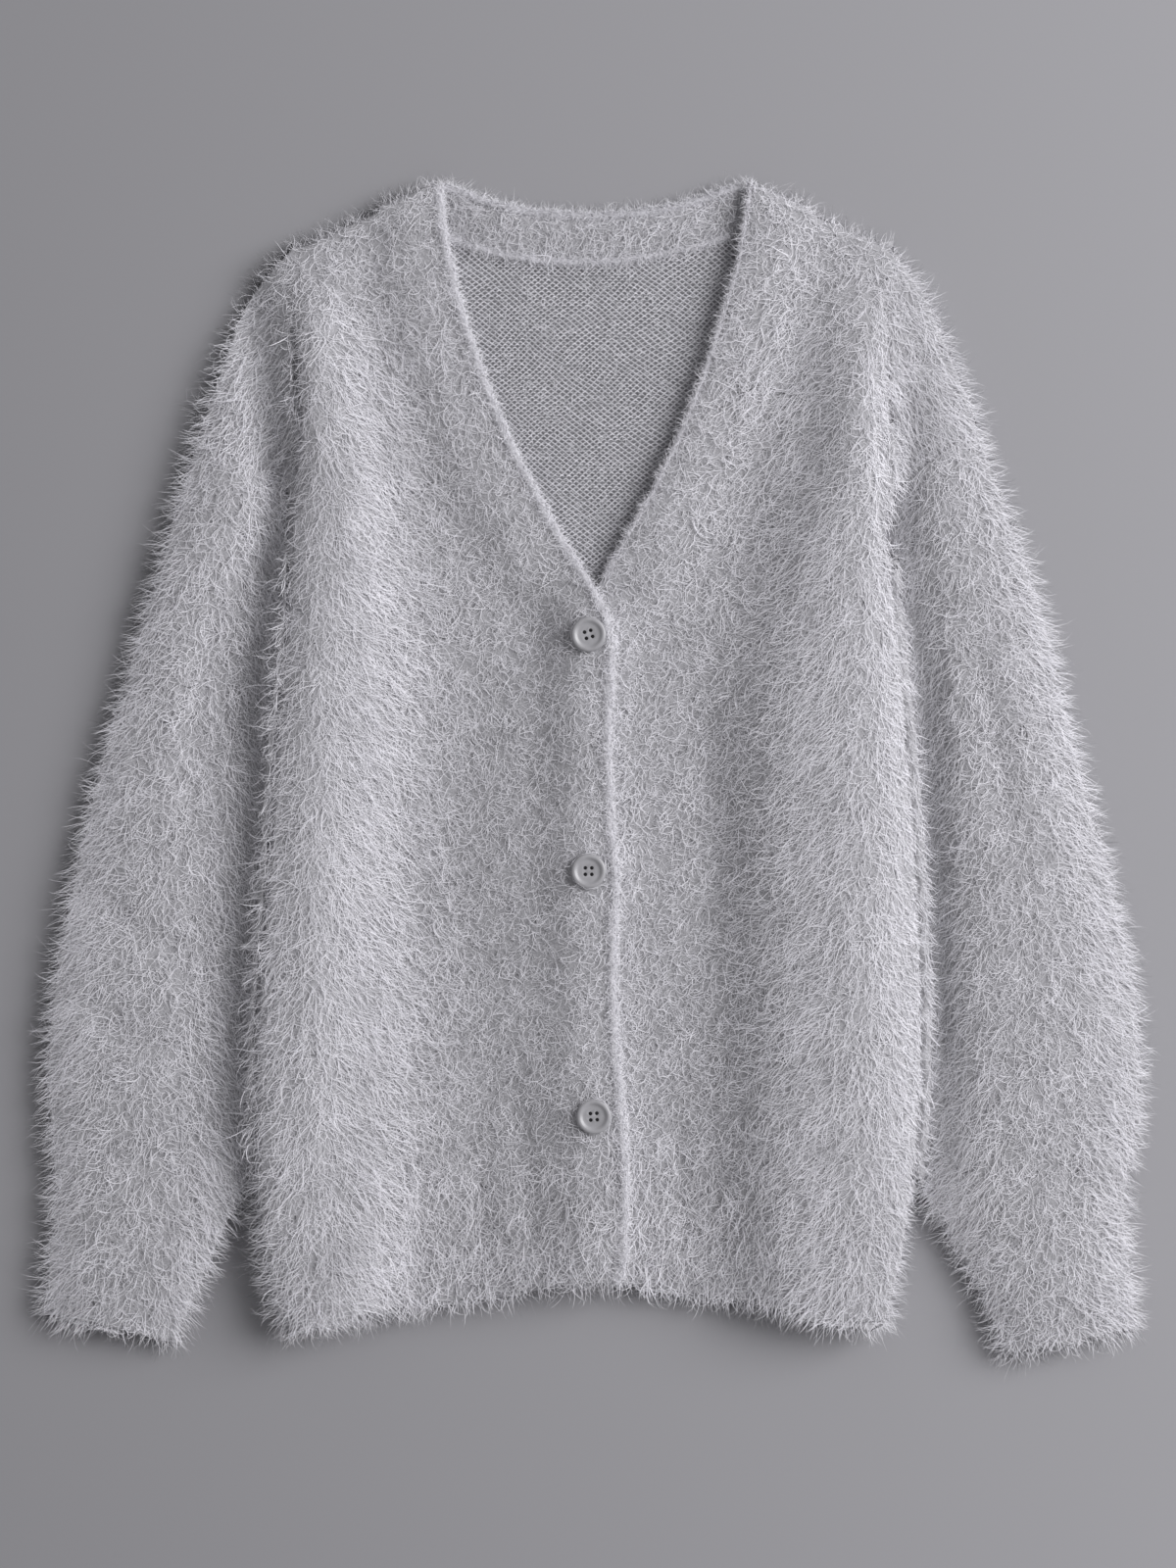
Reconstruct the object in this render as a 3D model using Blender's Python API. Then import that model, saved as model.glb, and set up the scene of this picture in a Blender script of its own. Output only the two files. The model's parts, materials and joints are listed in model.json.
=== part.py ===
"""A long-haired knitted cardigan with a deep V neck, buttoned and laid flat on its back.

Each piece that is cut or knitted and then sewn on is one closed solid. The frame is the floor's: +X is
the wearer's left, +Y runs from the hem to the neck and +Z is up. Both sides of the body are folded
under, so four plies lie on each other along the sides and two in the middle.

A piece is a grid of points, levels down its length by stations across it. Over each cell of the grid
lie one or two plies of cloth, each from a low surface to a high one.
"""

import math
from collections import namedtuple

import bmesh
import bpy

MM = 0.001  # the sizes below are in millimetres

# Driving sizes
PLY = 7.0  # one ply of cloth: the knit and the hair that lies on both of its faces
SEAM = 0.3  # between two pieces where they are sewn together or lie on each other
TUCK_GAP = 0.6  # between a folded ply and the plies that it wraps
FRONT_LOW = PLY + SEAM
TUCK_RISE = 2 * PLY - SEAM  # how much two more plies lift the front
RIM = 14.0  # width of the rounding along a folded side
SLIT = 3.0  # air between the two walls of a flat sleeve
BUTTON_ACROSS = 20.3
BUTTON_THICK = 3.6
FUR_GREY = (0.42, 0.42, 0.435, 1)
BUTTON_GREY = (0.2, 0.2, 0.21, 1)

# The body, level by level from the shoulders (0) to the bottom of the hem (19). y is given where the
# level meets the opening and where it meets the side, and swell is the share of the tuck's rise. The
# rest are distances from the middle line on the wearer's right and left: the folded side, the inner
# end of what is folded under, the seam of the band and the band's free edge.
Level = namedtuple(
    "Level",
    "at y_open y_side swell right_side right_tuck right_seam right_open"
    " left_side left_tuck left_seam left_open",
)
BODY = [
    Level(0, 342, 308, 0.00, 169, 150, 123, 88, 169, 150, 125, 89),
    Level(1, 319, 285, 0.05, 173, 150, 121, 86, 172, 150, 122, 86),
    Level(2, 295, 259, 0.20, 175, 148, 118, 82, 173, 148, 118, 82),
    Level(3, 267, 231, 0.45, 173, 141, 113, 75, 173, 142, 112, 74),
    Level(4, 234, 198, 0.70, 173, 132, 104, 65, 172, 135, 103, 64),
    Level(5, 198, 162, 0.90, 176, 126, 91, 51, 173, 126, 90, 50),
    Level(6, 164, 128, 1.00, 177, 122, 75, 34, 176, 116, 75, 34),
    Level(7, 133, 97, 1.00, 178, 119, 58, 17, 179, 108, 57, 16),
    Level(8, 106, 69, 1.00, 181, 116, 38, -1, 181, 102, 39, 1),
    Level(9, 89, 53, 1.00, 182, 114, 26, -10, 183, 95, 27, -8),
    Level(10, 69, 33, 1.00, 184, 112, 23, -13, 185, 90, 21, -14),
    Level(11, 27, -10, 1.00, 188, 112, 24, -10, 189, 88, 21, -14),
    Level(12, -19, -55, 1.00, 190, 114, 23, -11, 192, 88, 21, -14),
    Level(13, -64, -99, 1.00, 194, 114, 21, -15, 194, 90, 21, -14),
    Level(14, -109, -143, 1.00, 197, 110, 22, -13, 195, 88, 21, -14),
    Level(15, -154, -187, 1.00, 198, 113, 21, -14, 195, 88, 21, -14),
    Level(16, -189, -222, 1.00, 197, 114, 18, -17, 193, 88, 21, -14),
    Level(17, -222, -255, 0.98, 194, 115, 15, -20, 189, 88, 21, -14),
    Level(18, -257, -289, 0.94, 190, 118, 15, -20, 183, 90, 21, -14),
    Level(19, -295, -326, 0.88, 181, 122, 15, -20, 174, 92, 21, -14),
]
DROP_SEAM_LEVEL = 5  # above it the shoulder caps belong to the front and the back
HEM_LEVEL = 17  # the ribbed hem is sewn on here
CROSSING_LEVEL = 8  # the two bands cross here, at the bottom of the V
BODY_LEVELS = [0, 0.12, 0.4, 1, 2, 3, 4, 5, 6, 7, 7.5, 8, 8.5, 9, 9.5, 10, 11, 12, 13, 14, 15, 16, 17]
HEM_LEVELS = [17, 18, 18.8, 18.94, 19]
STEP_HALF = {"right": 17.0, "left": 25.0}  # half of the slope at the tuck's inner end

# The outer edge of each shoulder cap, from the shoulder's end down to the drop-shoulder seam
Cap = namedtuple("Cap", "at right_x right_y left_x left_y crown")
CAPS = [
    Cap(0, 174, 307, 176, 302, 14.3),
    Cap(1, 194, 286, 192, 284, 14.6),
    Cap(2, 208, 264, 202, 263, 15.0),
    Cap(3, 217, 238, 212, 238, 15.4),
    Cap(4, 224, 216, 221, 216, 16.0),
    Cap(5, 230, 201, 226, 201, 16.8),
]

# The sleeves: the body's level at which the inner edge lies and its distance from the body there, the
# outer edge, and the height of the upper wall
Sleeve = namedtuple("Sleeve", "at right_x right_y right_clear left_x left_y left_clear crown")
SLEEVES = [
    Sleeve(5, 230, 201, 0.5, 226, 201, 0.5, 16.8),
    Sleeve(6, 246, 150, 0.5, 244, 150, 0.5, 18.4),
    Sleeve(7, 257, 112, 0.5, 258, 112, 0.5, 19.6),
    Sleeve(8, 266, 83, 0.5, 267, 83, 0.5, 20.6),
    Sleeve(10, 276, 45, 0.5, 275, 45, 0.5, 21.6),
    Sleeve(11, 290, 1, 0.5, 287, 1, 0.5, 22.0),
    Sleeve(12, 300, -42, 0.5, 298, -42, 0.5, 22.0),
    Sleeve(13, 309, -85, 0.5, 309, -85, 0.5, 22.0),
    Sleeve(14, 317, -129, 0.5, 318, -129, 0.5, 22.0),
    Sleeve(15, 320, -174, 0.5, 322, -174, 0.5, 21.6),
    Sleeve(16, 318, -211, 3.5, 318, -211, 2.0, 20.6),
    Sleeve(17, 315, -246, 10.5, 312, -246, 7.0, 19.0),
]

# The ribbed cuffs, from their seam to the open end: outer and inner edges and height
Cuff = namedtuple("Cuff", "at right_x right_y right_in_x right_in_y left_x left_y left_in_x left_in_y crown")
CUFFS = [
    Cuff(0.0, 315, -246, 204.5, -255, 312, -246, 196, -255, 18.6),
    Cuff(0.3, 317, -268, 213, -275, 313, -270, 204, -275, 17.6),
    Cuff(0.65, 320, -291, 224, -300, 317, -297, 220, -301, 17.0),
    Cuff(1.0, 322, -315, 238, -335, 318, -325, 235, -343, 16.6),
]
CUFF_LEVELS = [0, 0.3, 0.65, 0.9, 0.975, 1]

# The neck, from the wearer's right to the left: the seam between the back and its band, and the band's
# upper edge
Neck = namedtuple("Neck", "x y_seam y_top")
NECK = [
    Neck(-105, 318, 334),
    Neck(-84, 307, 341),
    Neck(-62, 301, 331),
    Neck(-34, 295, 324),
    Neck(0, 293, 322),
    Neck(34, 297, 325),
    Neck(62, 304, 331),
    Neck(84, 309, 341),
    Neck(106, 318, 333),
]
NECK_END_LEVEL = 4  # the back's levels bend with the neck seam down to here
NECK_BAND_ROWS = [0, 0.35, 0.75, 0.93, 1]
NECK_END_WIDTH = 1.3  # where the band runs out at the shoulder seams

BUTTON_PLACES = [(-2, 78), (-2, -58), (1, -199)]
SIGN = {"right": -1, "left": 1}


def smooth(t):
    """0 below 0, 1 above 1, and a soft step between."""
    t = min(max(t, 0.0), 1.0)
    return t * t * (3 - 2 * t)


def rounding(t):
    """The height of a quarter circle at t of its width, and 1 past it."""
    t = min(max(t, 0.0), 1.0)
    return math.sqrt(1 - (1 - t) ** 2)


def between(table, at, column):
    """The table's value in this column, read between its rows."""
    for upper, lower in zip(table, table[1:]):
        if at <= lower.at:
            share = (at - upper.at) / (lower.at - upper.at)
            first = getattr(upper, column)
            return first + (getattr(lower, column) - first) * share
    return getattr(table[-1], column)


def flattened(level):
    """How much of its height a ply keeps near the shoulder line and the bottom of the hem."""
    at_shoulder = 0.32 + 0.68 * rounding(level / 0.4)
    at_hem = 0.45 + 0.55 * rounding((19 - level) / 0.2)
    return min(at_shoulder, at_hem)


# ---------------------------------------------------------------------------------------------
# A grid of plies made into one closed mesh
# ---------------------------------------------------------------------------------------------


def make_piece(name, material, levels, stations, place, heights, plies):
    """Adds the object for one piece of cloth.

    place(level, station) is the point's (x, y), heights(level, station) the height of each surface
    there by its name, and plies(level, station) the (low, high) surfaces of the cell that starts there.
    """
    rows, columns = len(levels), len(stations)
    spots = [[place(level, station) for station in stations] for level in levels]
    surfaces = [[heights(level, station) for station in stations] for level in levels]
    cells = {
        (j, i): plies(levels[j], stations[i])
        for j in range(rows - 1)
        for i in range(columns - 1)
    }
    mesh = bmesh.new()
    made = {}

    def corner(spot, surface):
        j, i = spot
        height = round(surfaces[j][i][surface], 3)
        if (j, i, height) not in made:
            x, y = spots[j][i]
            made[j, i, height] = mesh.verts.new((x * MM, y * MM, height * MM))
        return made[j, i, height]

    def face(corners):
        unlike = list(dict.fromkeys(corners))
        if len(unlike) > 2:
            mesh.faces.new(unlike)

    def order(edge, names):
        return sorted(names, key=lambda s: sum(surfaces[j][i][s] for j, i in edge))

    def names_around(*around):
        return {s for cell in around for layer in cells.get(cell, ()) for s in layer}

    def rung(spot, low, high):
        """The corners over one point from low up to high, with those that other cells use there."""
        j, i = spot
        here = surfaces[j][i]
        names = names_around((j, i), (j - 1, i), (j, i - 1), (j - 1, i - 1))
        inside = [s for s in names if here[low] <= here[s] <= here[high]]
        return [corner(spot, s) for s in sorted(inside, key=lambda s: here[s])]

    def covered(cell, names, k):
        """Whether cloth fills this cell between names[k] and names[k + 1]."""
        return any(
            names.index(low) <= k and names.index(high) > k for low, high in cells.get(cell, ())
        )

    for (j, i), layers in cells.items():
        square = [(j, i), (j, i + 1), (j + 1, i + 1), (j + 1, i)]
        for surface in {s for layer in layers for s in layer}:
            corners = [corner(spot, surface) for spot in square]
            face(corners[:3])
            face([corners[0], corners[2], corners[3]])
        borders = [
            ((j - 1, i), square[0:2]),
            ((j, i + 1), square[1:3]),
            ((j + 1, i), square[2:4]),
            ((j, i - 1), [square[3], square[0]]),
        ]
        for other, edge in borders:
            if not layers or (cells.get(other) and other > (j, i)):
                continue
            names = order(edge, names_around((j, i), other))
            for k in range(len(names) - 1):
                if covered((j, i), names, k) != covered(other, names, k):
                    (p, q), (low, high) = edge, names[k : k + 2]
                    face(rung(p, low, high)[::-1] + rung(q, low, high))

    bmesh.ops.triangulate(mesh, faces=[f for f in mesh.faces if len(f.verts) > 3])
    bmesh.ops.recalc_face_normals(mesh, faces=mesh.faces)
    return finish_mesh(name, mesh, material)


def finish_mesh(name, mesh, material):
    data = bpy.data.meshes.new(name)
    mesh.to_mesh(data)
    mesh.free()
    data.materials.append(material)
    data.shade_smooth()
    data.set_sharp_from_angle(angle=math.radians(50))
    piece = bpy.data.objects.new(name, data)
    bpy.context.scene.collection.objects.link(piece)
    return piece


# ---------------------------------------------------------------------------------------------
# The body: two fronts, a back and their hems
# ---------------------------------------------------------------------------------------------

CAP_STATIONS = ["cap edge", "cap edge 2", "cap edge 7", "cap middle", "cap groove"]
FOLD_STATIONS = ["fold", "fold 1", "fold 4", "fold wall", "fold rim"]
STEP_STATIONS = ["step top", "step upper", "tuck", "step lower", "step foot"]
RIM_STATIONS = ["fold", "fold 1", "fold 4"]  # here the front is one wall from its top to the floor
TUCKED_STATIONS = ["fold wall", "fold rim", "step top", "step upper"]  # from here four plies lie on each other
SIDE_STATIONS = CAP_STATIONS + FOLD_STATIONS + STEP_STATIONS + ["panel", "near seam", "seam"]
FOLD_OFFSETS = {"fold": 0, "fold 1": 1.2, "fold 4": 4.5, "fold wall": 8, "fold rim": RIM}
STEP_OFFSETS = {"step top": 1, "step upper": 0.5, "tuck": 0, "step lower": -0.5, "step foot": -1}
STEP_SHARES = {"step top": 1, "step upper": 0.84, "tuck": 0.5, "step lower": 0.16, "step foot": 0}
CAP_OFFSETS = {"cap edge": 0, "cap edge 2": 2, "cap edge 7": 7}
NEAR_SEAM = 18.0
RAMP = 45.0  # a front rises to its band over this width
FULL_WIDTH = 110.0  # a front narrower than this has its stations drawn together


def across(side, level, station):
    """How far a station of the body lies from the middle line."""
    edge = between(BODY, level, side + "_side")
    seam = between(BODY, level, side + "_seam")
    tuck = between(BODY, level, side + "_tuck")
    narrow = min(1.0, (edge - seam) / FULL_WIDTH)
    step = STEP_HALF[side] * narrow
    if station in FOLD_OFFSETS:
        return edge - FOLD_OFFSETS[station] * narrow
    if station in STEP_OFFSETS:
        return tuck + STEP_OFFSETS[station] * step
    if station == "panel":
        return (tuck - step + seam + NEAR_SEAM * narrow) / 2
    return {"near seam": seam + NEAR_SEAM * narrow, "seam": seam}[station]


def on_body(side, level, distance):
    """The point of a level that lies this far from the middle line."""
    edge = between(BODY, level, side + "_side")
    opening = between(BODY, level, side + "_open")
    y_open = between(BODY, level, "y_open")
    y_side = between(BODY, level, "y_side")
    share = (distance - opening) / (edge - opening)
    return SIGN[side] * distance, y_open + (y_side - y_open) * share


def cap_point(side, level, station):
    """A point on the shoulder cap, between its outer edge and the groove beside the body."""
    outer = between(CAPS, level, side + "_x")
    inner = between(BODY, level, side + "_side")
    y_outer = between(CAPS, level, side + "_y")
    y_inner = between(BODY, level, "y_side")
    width = outer - inner
    offsets = dict(CAP_OFFSETS)
    offsets["cap middle"] = max(width, 30) / 2
    offsets["cap groove"] = max(width, 30) - 7
    share = offsets[station] / max(width, 30)
    return SIGN[side] * (outer - width * share), y_outer + (y_inner - y_outer) * share


def body_point(side, level, station):
    if station in CAP_STATIONS:
        return cap_point(side, level, station)
    return on_body(side, level, across(side, level, station))


def band_lift(side, level, distance):
    """How much the upper band, on the wearer's right, climbs over the band below it."""
    if side == "left":
        return 0.0
    hidden_edge = between(BODY, level, "left_open")
    return FRONT_LOW * smooth((16 - distance - hidden_edge) / 11)


def tuck_rise(side, level, station):
    swell = TUCK_RISE * between(BODY, level, "swell")
    if station in STEP_SHARES:
        return swell * STEP_SHARES[station]
    return swell if station in CAP_STATIONS + FOLD_STATIONS else 0.0


def body_heights(side, level, station):
    """The height of each surface of the body's plies at one point."""
    edge_height = FRONT_LOW + PLY - 2.8 * between(BODY, level, "swell")
    keep = flattened(level)
    if station in CAP_STATIONS:
        crown = between(CAPS, level, "crown")
        low = FRONT_LOW
        high = {
            "cap edge": low + 2.2,
            "cap edge 2": crown - 2.4,
            "cap edge 7": crown - 0.5,
            "cap middle": crown,
            "cap groove": (crown + edge_height) / 2,
        }[station]
    else:
        distance = across(side, level, station)
        seam = between(BODY, level, side + "_seam")
        ramp = band_lift(side, level, seam) * smooth(1 - (distance - seam) / RAMP)
        plateau = FRONT_LOW + PLY + tuck_rise(side, level, station) + ramp
        offset = FOLD_OFFSETS.get(station, RIM)
        if level > DROP_SEAM_LEVEL:
            edge_height = FRONT_LOW + PLY
        high = edge_height + (plateau - edge_height) * rounding(offset / RIM)
        low = max(FRONT_LOW, plateau - PLY if offset >= 8 else high - PLY)
    under = (FRONT_LOW + PLY) * (1 - rounding(FOLD_OFFSETS.get(station, RIM) / RIM))
    if level <= DROP_SEAM_LEVEL:
        under = min(under, FRONT_LOW - SEAM)
    in_rim = level >= DROP_SEAM_LEVEL and station in RIM_STATIONS
    foot = under if in_rim else low
    back_high = low - (SEAM if low == FRONT_LOW else TUCK_GAP)
    squeeze = (1 - keep) * PLY / 2 if level > HEM_LEVEL else 0.0
    return {
        "front high": foot + (high - foot) * keep,
        "front low": low + squeeze * 0.4,
        "fold low": under,
        "tuck high": PLY * keep,
        "back high": back_high - squeeze,
        "back over tuck": FRONT_LOW + squeeze,
        "back low": 0.0,
    }


def front_plies(level, station):
    """The front's plies inward of a station: one, or two where its side is folded under."""
    if level < DROP_SEAM_LEVEL:
        return [("front low", "front high")]
    if station in CAP_STATIONS:
        return []
    if station in RIM_STATIONS:
        return [("fold low", "front high")]
    if station in TUCKED_STATIONS:
        return [("fold low", "tuck high"), ("front low", "front high")]
    return [("front low", "front high")]


def back_plies(level, station):
    """The back's ply inward of a station: none in the front's fold, and raised over what is tucked in."""
    if level < DROP_SEAM_LEVEL:
        return [("back low", "back high")]
    if station in CAP_STATIONS + RIM_STATIONS:
        return []
    if station in TUCKED_STATIONS:
        return [("back over tuck", "back high")]
    return [("back low", "back high")]


def front(name, side, levels, material):
    """A front panel, or its part of the hem: one wall that turns under at the folded side."""
    stations = [s for s in SIDE_STATIONS if levels[0] < DROP_SEAM_LEVEL or s not in CAP_STATIONS]

    def place(level, station):
        x, y = body_point(side, level, station)
        return x, y - (SEAM if level == levels[0] == HEM_LEVEL else 0)

    make_piece(
        name,
        material,
        levels,
        stations,
        place,
        lambda level, station: body_heights(side, level, station),
        front_plies,
    )


def back_point(level, station, first):
    """A point of the back. An int station is a place along the neck seam, counted in NECK."""
    drop = SEAM if level == first else 0.0
    if isinstance(station, int):
        seam_right = between(BODY, level, "right_seam")
        seam_left = between(BODY, level, "left_seam")
        share = (NECK[station].x + BODY[0].right_seam) / (BODY[0].right_seam + BODY[0].left_seam)
        x = -seam_right + (seam_right + seam_left) * share
        if level >= NECK_END_LEVEL:
            return x, between(BODY, level, "y_open") - drop
        y_low = between(BODY, NECK_END_LEVEL, "y_open")
        y_seam = NECK[station].y_seam
        return x, y_seam + (y_low - y_seam) * level / NECK_END_LEVEL - drop
    side, name = station
    x, y = body_point(side, level, name)
    if name == "tuck":
        x -= SIGN[side] * TUCK_GAP
    if name == "fold wall" and level >= DROP_SEAM_LEVEL:
        x -= SIGN[side] * TUCK_GAP
    if level == DROP_SEAM_LEVEL:
        y += TUCK_GAP
    return x, y - (drop if first == HEM_LEVEL or name == "seam" else 0)


def back_heights(level, station):
    """Inward of the tucks the back is flat, although the right front climbs to its band there."""
    flat = body_heights("left", level, "panel")
    if isinstance(station, int) or station[1] == "seam":
        return flat
    side, name = station
    return body_heights(side, level, name)


def back(name, levels, material):
    """The back, or its hem: its folded plies lie between the fronts and what they turn under."""
    left_out = ["panel", "near seam"]  # the back is flat there
    if levels[0] >= DROP_SEAM_LEVEL:
        left_out += CAP_STATIONS + RIM_STATIONS
    outer = [s for s in SIDE_STATIONS if s not in left_out]
    right = [("right", s) for s in outer]
    left = [("left", s) for s in reversed(outer)]
    stations = right + list(range(len(NECK))) + left

    def plies(level, station):
        """A cell goes by its outer station, which on the wearer's left is the one after."""
        after = stations[stations.index(station) + 1]
        if after in left:
            return back_plies(level, after[1])
        return back_plies(level, station[1] if station in right else "seam")

    make_piece(
        name,
        material,
        levels,
        stations,
        lambda level, station: back_point(level, station, levels[0]),
        back_heights,
        plies,
    )


# ---------------------------------------------------------------------------------------------
# The bands along the opening and round the neck
# ---------------------------------------------------------------------------------------------

BAND_STATIONS = [0, 0.3, 0.65, 0.92, 1]  # share of the way from the band's seam to its free edge
ROLLED = {0: 0.5, 0.3: 2.0, 0.65: 2.4, 0.92: 1.2, 1: -2.5}  # beside the V, above a plain ply
PRESSED = {0: 0.0, 0.3: 0.8, 0.65: 0.8, 0.92: 0.3, 1: -2.5}  # the upper band below the V
UNDER = {0: 0.0, 0.3: 0.0, 0.65: 0.0, 0.92: -1.2, 1: -4.2}  # the band that it lies on
FREE_EDGE_RISE = 1.5  # how much the lower corner of a free edge is rounded


def front_band(name, side, material):
    """A band from the shoulder down the V and the closing to the bottom of the hem."""
    closed = UNDER if side == "left" else PRESSED

    def distance_at(level, share):
        seam = between(BODY, level, side + "_seam") - SEAM
        opening = between(BODY, level, side + "_open")
        return seam + (opening - seam) * share

    def heights(level, share):
        beside_v = smooth(CROSSING_LEVEL - level)
        keep = flattened(level)
        low = FRONT_LOW + band_lift(side, level, distance_at(level, share))
        high = low + PLY + ROLLED[share] * beside_v + closed[share] * (1 - beside_v)
        low += FREE_EDGE_RISE if share == 1 else 0.0
        return {"low": low, "high": low + (high - low) * keep}

    make_piece(
        name,
        material,
        BODY_LEVELS + HEM_LEVELS[1:],
        BAND_STATIONS,
        lambda level, share: on_body(side, level, distance_at(level, share)),
        heights,
        lambda level, share: [("low", "high")],
    )


def back_neck_band(name, material):
    """The crescent between the shoulder seams, sewn to the top of the back."""
    ends = []
    for side in ("right", "left"):
        x, y = on_body(side, 0, getattr(BODY[0], side + "_seam"))
        ends.append(Neck(x, y, y + NECK_END_WIDTH))
    stations = [ends[0]] + NECK + [ends[1]]

    def heights(row, neck):
        free = smooth((84 - abs(neck.x)) / 15)  # clear of the fronts' bands
        shape = {0: 0.0, 0.35: 1.2, 0.75: 1.2, 0.93: 0.2, 1: -2.4}[row]
        return {"low": 0.0, "high": PLY + (shape if shape < 0 else shape * free)}

    make_piece(
        name,
        material,
        NECK_BAND_ROWS,
        stations,
        lambda row, neck: (neck.x, neck.y_seam + (neck.y_top - neck.y_seam) * row),
        heights,
        lambda row, neck: [("low", "high")],
    )


# ---------------------------------------------------------------------------------------------
# The sleeves and cuffs: flat tubes, open at both ends
# ---------------------------------------------------------------------------------------------

TUBE_EDGE = [0, 1.2, 4.5, 9, 15]  # stations in from each edge of a flat tube
TUBE_RIM = 12.0
TUBE_STATIONS = (
    [("outer", d) for d in TUBE_EDGE]
    + [("share", 0.38), ("share", 0.62)]
    + [("inner", d) for d in reversed(TUBE_EDGE)]
)


def tube_share(station, width):
    kind, value = station
    if kind == "share":
        return value
    return value / width if kind == "outer" else 1 - value / width


def tube_heights(station, width, crown, keep):
    share = tube_share(station, width)
    from_edge = min(share, 1 - share) * width
    middle = 0.45 * crown
    dome = 1.2 * math.sin(math.pi * share)
    high = middle + (crown - middle) * rounding(from_edge / TUBE_RIM) + dome
    half_slit = SLIT / 2 + (1 - keep) * 1.2
    return {
        "under": middle * (1 - rounding(from_edge / TUBE_RIM)),
        "slit low": crown / 2 - half_slit,
        "slit high": crown / 2 + half_slit,
        "over": crown / 2 + (high - crown / 2) * keep,
    }


def flat_tube(name, material, levels, edges, crown, keep):
    """edges(level) gives the outer and the inner edge's points of a flat tube."""

    def place(level, station):
        (x_out, y_out), (x_in, y_in) = edges(level)
        share = tube_share(station, abs(x_out - x_in))
        return x_out + (x_in - x_out) * share, y_out + (y_in - y_out) * share

    def heights(level, station):
        (x_out, _), (x_in, _) = edges(level)
        return tube_heights(station, abs(x_out - x_in), crown(level), keep(level))

    def plies(level, station):
        kind, value = station
        closed = (kind == "outer" and value < 9) or (kind == "inner" and value <= 9)
        return [("under", "over")] if closed else [("under", "slit low"), ("slit high", "over")]

    make_piece(name, material, levels, TUBE_STATIONS, place, heights, plies)


def sleeve(side, material):
    def edges(level):
        x_out = between(SLEEVES, level, side + "_x")
        y_out = between(SLEEVES, level, side + "_y")
        x_in = between(BODY, level, side + "_side") + between(SLEEVES, level, side + "_clear")
        y_in = between(BODY, level, "y_side")
        drop = 2 * SEAM if level == DROP_SEAM_LEVEL else 0.0
        return (SIGN[side] * x_out, y_out - drop), (SIGN[side] * x_in, y_in - drop)

    flat_tube(
        "sleeve_" + side,
        material,
        [row.at for row in SLEEVES],
        edges,
        lambda level: between(SLEEVES, level, "crown"),
        lambda level: 1.0,
    )


def cuff(side, material):
    def edges(level):
        ends = [
            (
                SIGN[side] * between(CUFFS, level, side + reach + "_x"),
                between(CUFFS, level, side + reach + "_y") - SEAM,
            )
            for reach in ("", "_in")
        ]
        return ends

    flat_tube(
        "cuff_" + side,
        material,
        CUFF_LEVELS,
        edges,
        lambda level: between(CUFFS, level, "crown"),
        lambda level: 0.6 + 0.4 * rounding((1 - level) / 0.1),
    )


# ---------------------------------------------------------------------------------------------
# The buttons
# ---------------------------------------------------------------------------------------------

BUTTON_TURN = [17, 0, 4]  # degrees by which each button has turned on its thread
BUTTON_SEGMENTS = 24
HOLE_ACROSS = 1.9
HOLE_PITCH = 3.6
# The turned profile: share of the radius and share of the thickness, from the centre of the face out
BUTTON_PROFILE = [(0, 0.62), (0.56, 0.62), (0.66, 0.95), (0.8, 1), (0.93, 0.82), (1, 0.45), (0.86, 0), (0, 0)]


def button(index, place, turn, material):
    """A round button with a raised rim and four holes, lying on the upper band."""
    radius = BUTTON_ACROSS / 2
    mesh = bmesh.new()
    rings = []
    for share, height in BUTTON_PROFILE:
        if share == 0:
            rings.append([mesh.verts.new((0, 0, height * BUTTON_THICK * MM))] * BUTTON_SEGMENTS)
            continue
        rings.append(
            [
                mesh.verts.new(
                    (
                        radius * share * math.cos(k * math.tau / BUTTON_SEGMENTS) * MM,
                        radius * share * math.sin(k * math.tau / BUTTON_SEGMENTS) * MM,
                        height * BUTTON_THICK * MM,
                    )
                )
                for k in range(BUTTON_SEGMENTS)
            ]
        )
    for inner, outer in zip(rings, rings[1:]):
        for k in range(BUTTON_SEGMENTS):
            n = (k + 1) % BUTTON_SEGMENTS
            mesh.faces.new(list(dict.fromkeys([inner[k], outer[k], outer[n], inner[n]])))
    bmesh.ops.recalc_face_normals(mesh, faces=mesh.faces)
    disc = finish_mesh(f"button_{index}", mesh, material)
    for k in range(4):
        angle = math.radians(45 + 90 * k)
        bpy.ops.mesh.primitive_cylinder_add(
            vertices=10,
            radius=HOLE_ACROSS / 2 * MM,
            depth=4 * BUTTON_THICK * MM,
            location=(
                HOLE_PITCH / math.sqrt(2) * math.cos(angle) * MM,
                HOLE_PITCH / math.sqrt(2) * math.sin(angle) * MM,
                0,
            ),
        )
        hole = bpy.context.object
        hole.name = f"button_{index}_hole_{k + 1}_cutter"
        hole.hide_render = True
        hole.display_type = "WIRE"
        hole.parent = disc
        cut = disc.modifiers.new(f"hole {k + 1}", "BOOLEAN")
        cut.operation = "DIFFERENCE"
        cut.object = hole
    upper_band = 2 * FRONT_LOW + PLY + max(PRESSED.values())
    disc.location = (place[0] * MM, place[1] * MM, (upper_band + SEAM) * MM)
    disc.rotation_euler = (0, 0, math.radians(turn))


# ---------------------------------------------------------------------------------------------
# The whole garment
# ---------------------------------------------------------------------------------------------


def plain_material(name, colour, roughness):
    material = bpy.data.materials.new(name)
    material.use_nodes = True
    shader = material.node_tree.nodes["Principled BSDF"]
    shader.inputs["Base Color"].default_value = colour
    shader.inputs["Roughness"].default_value = roughness
    shader.inputs["Metallic"].default_value = 0.0
    return material


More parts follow.
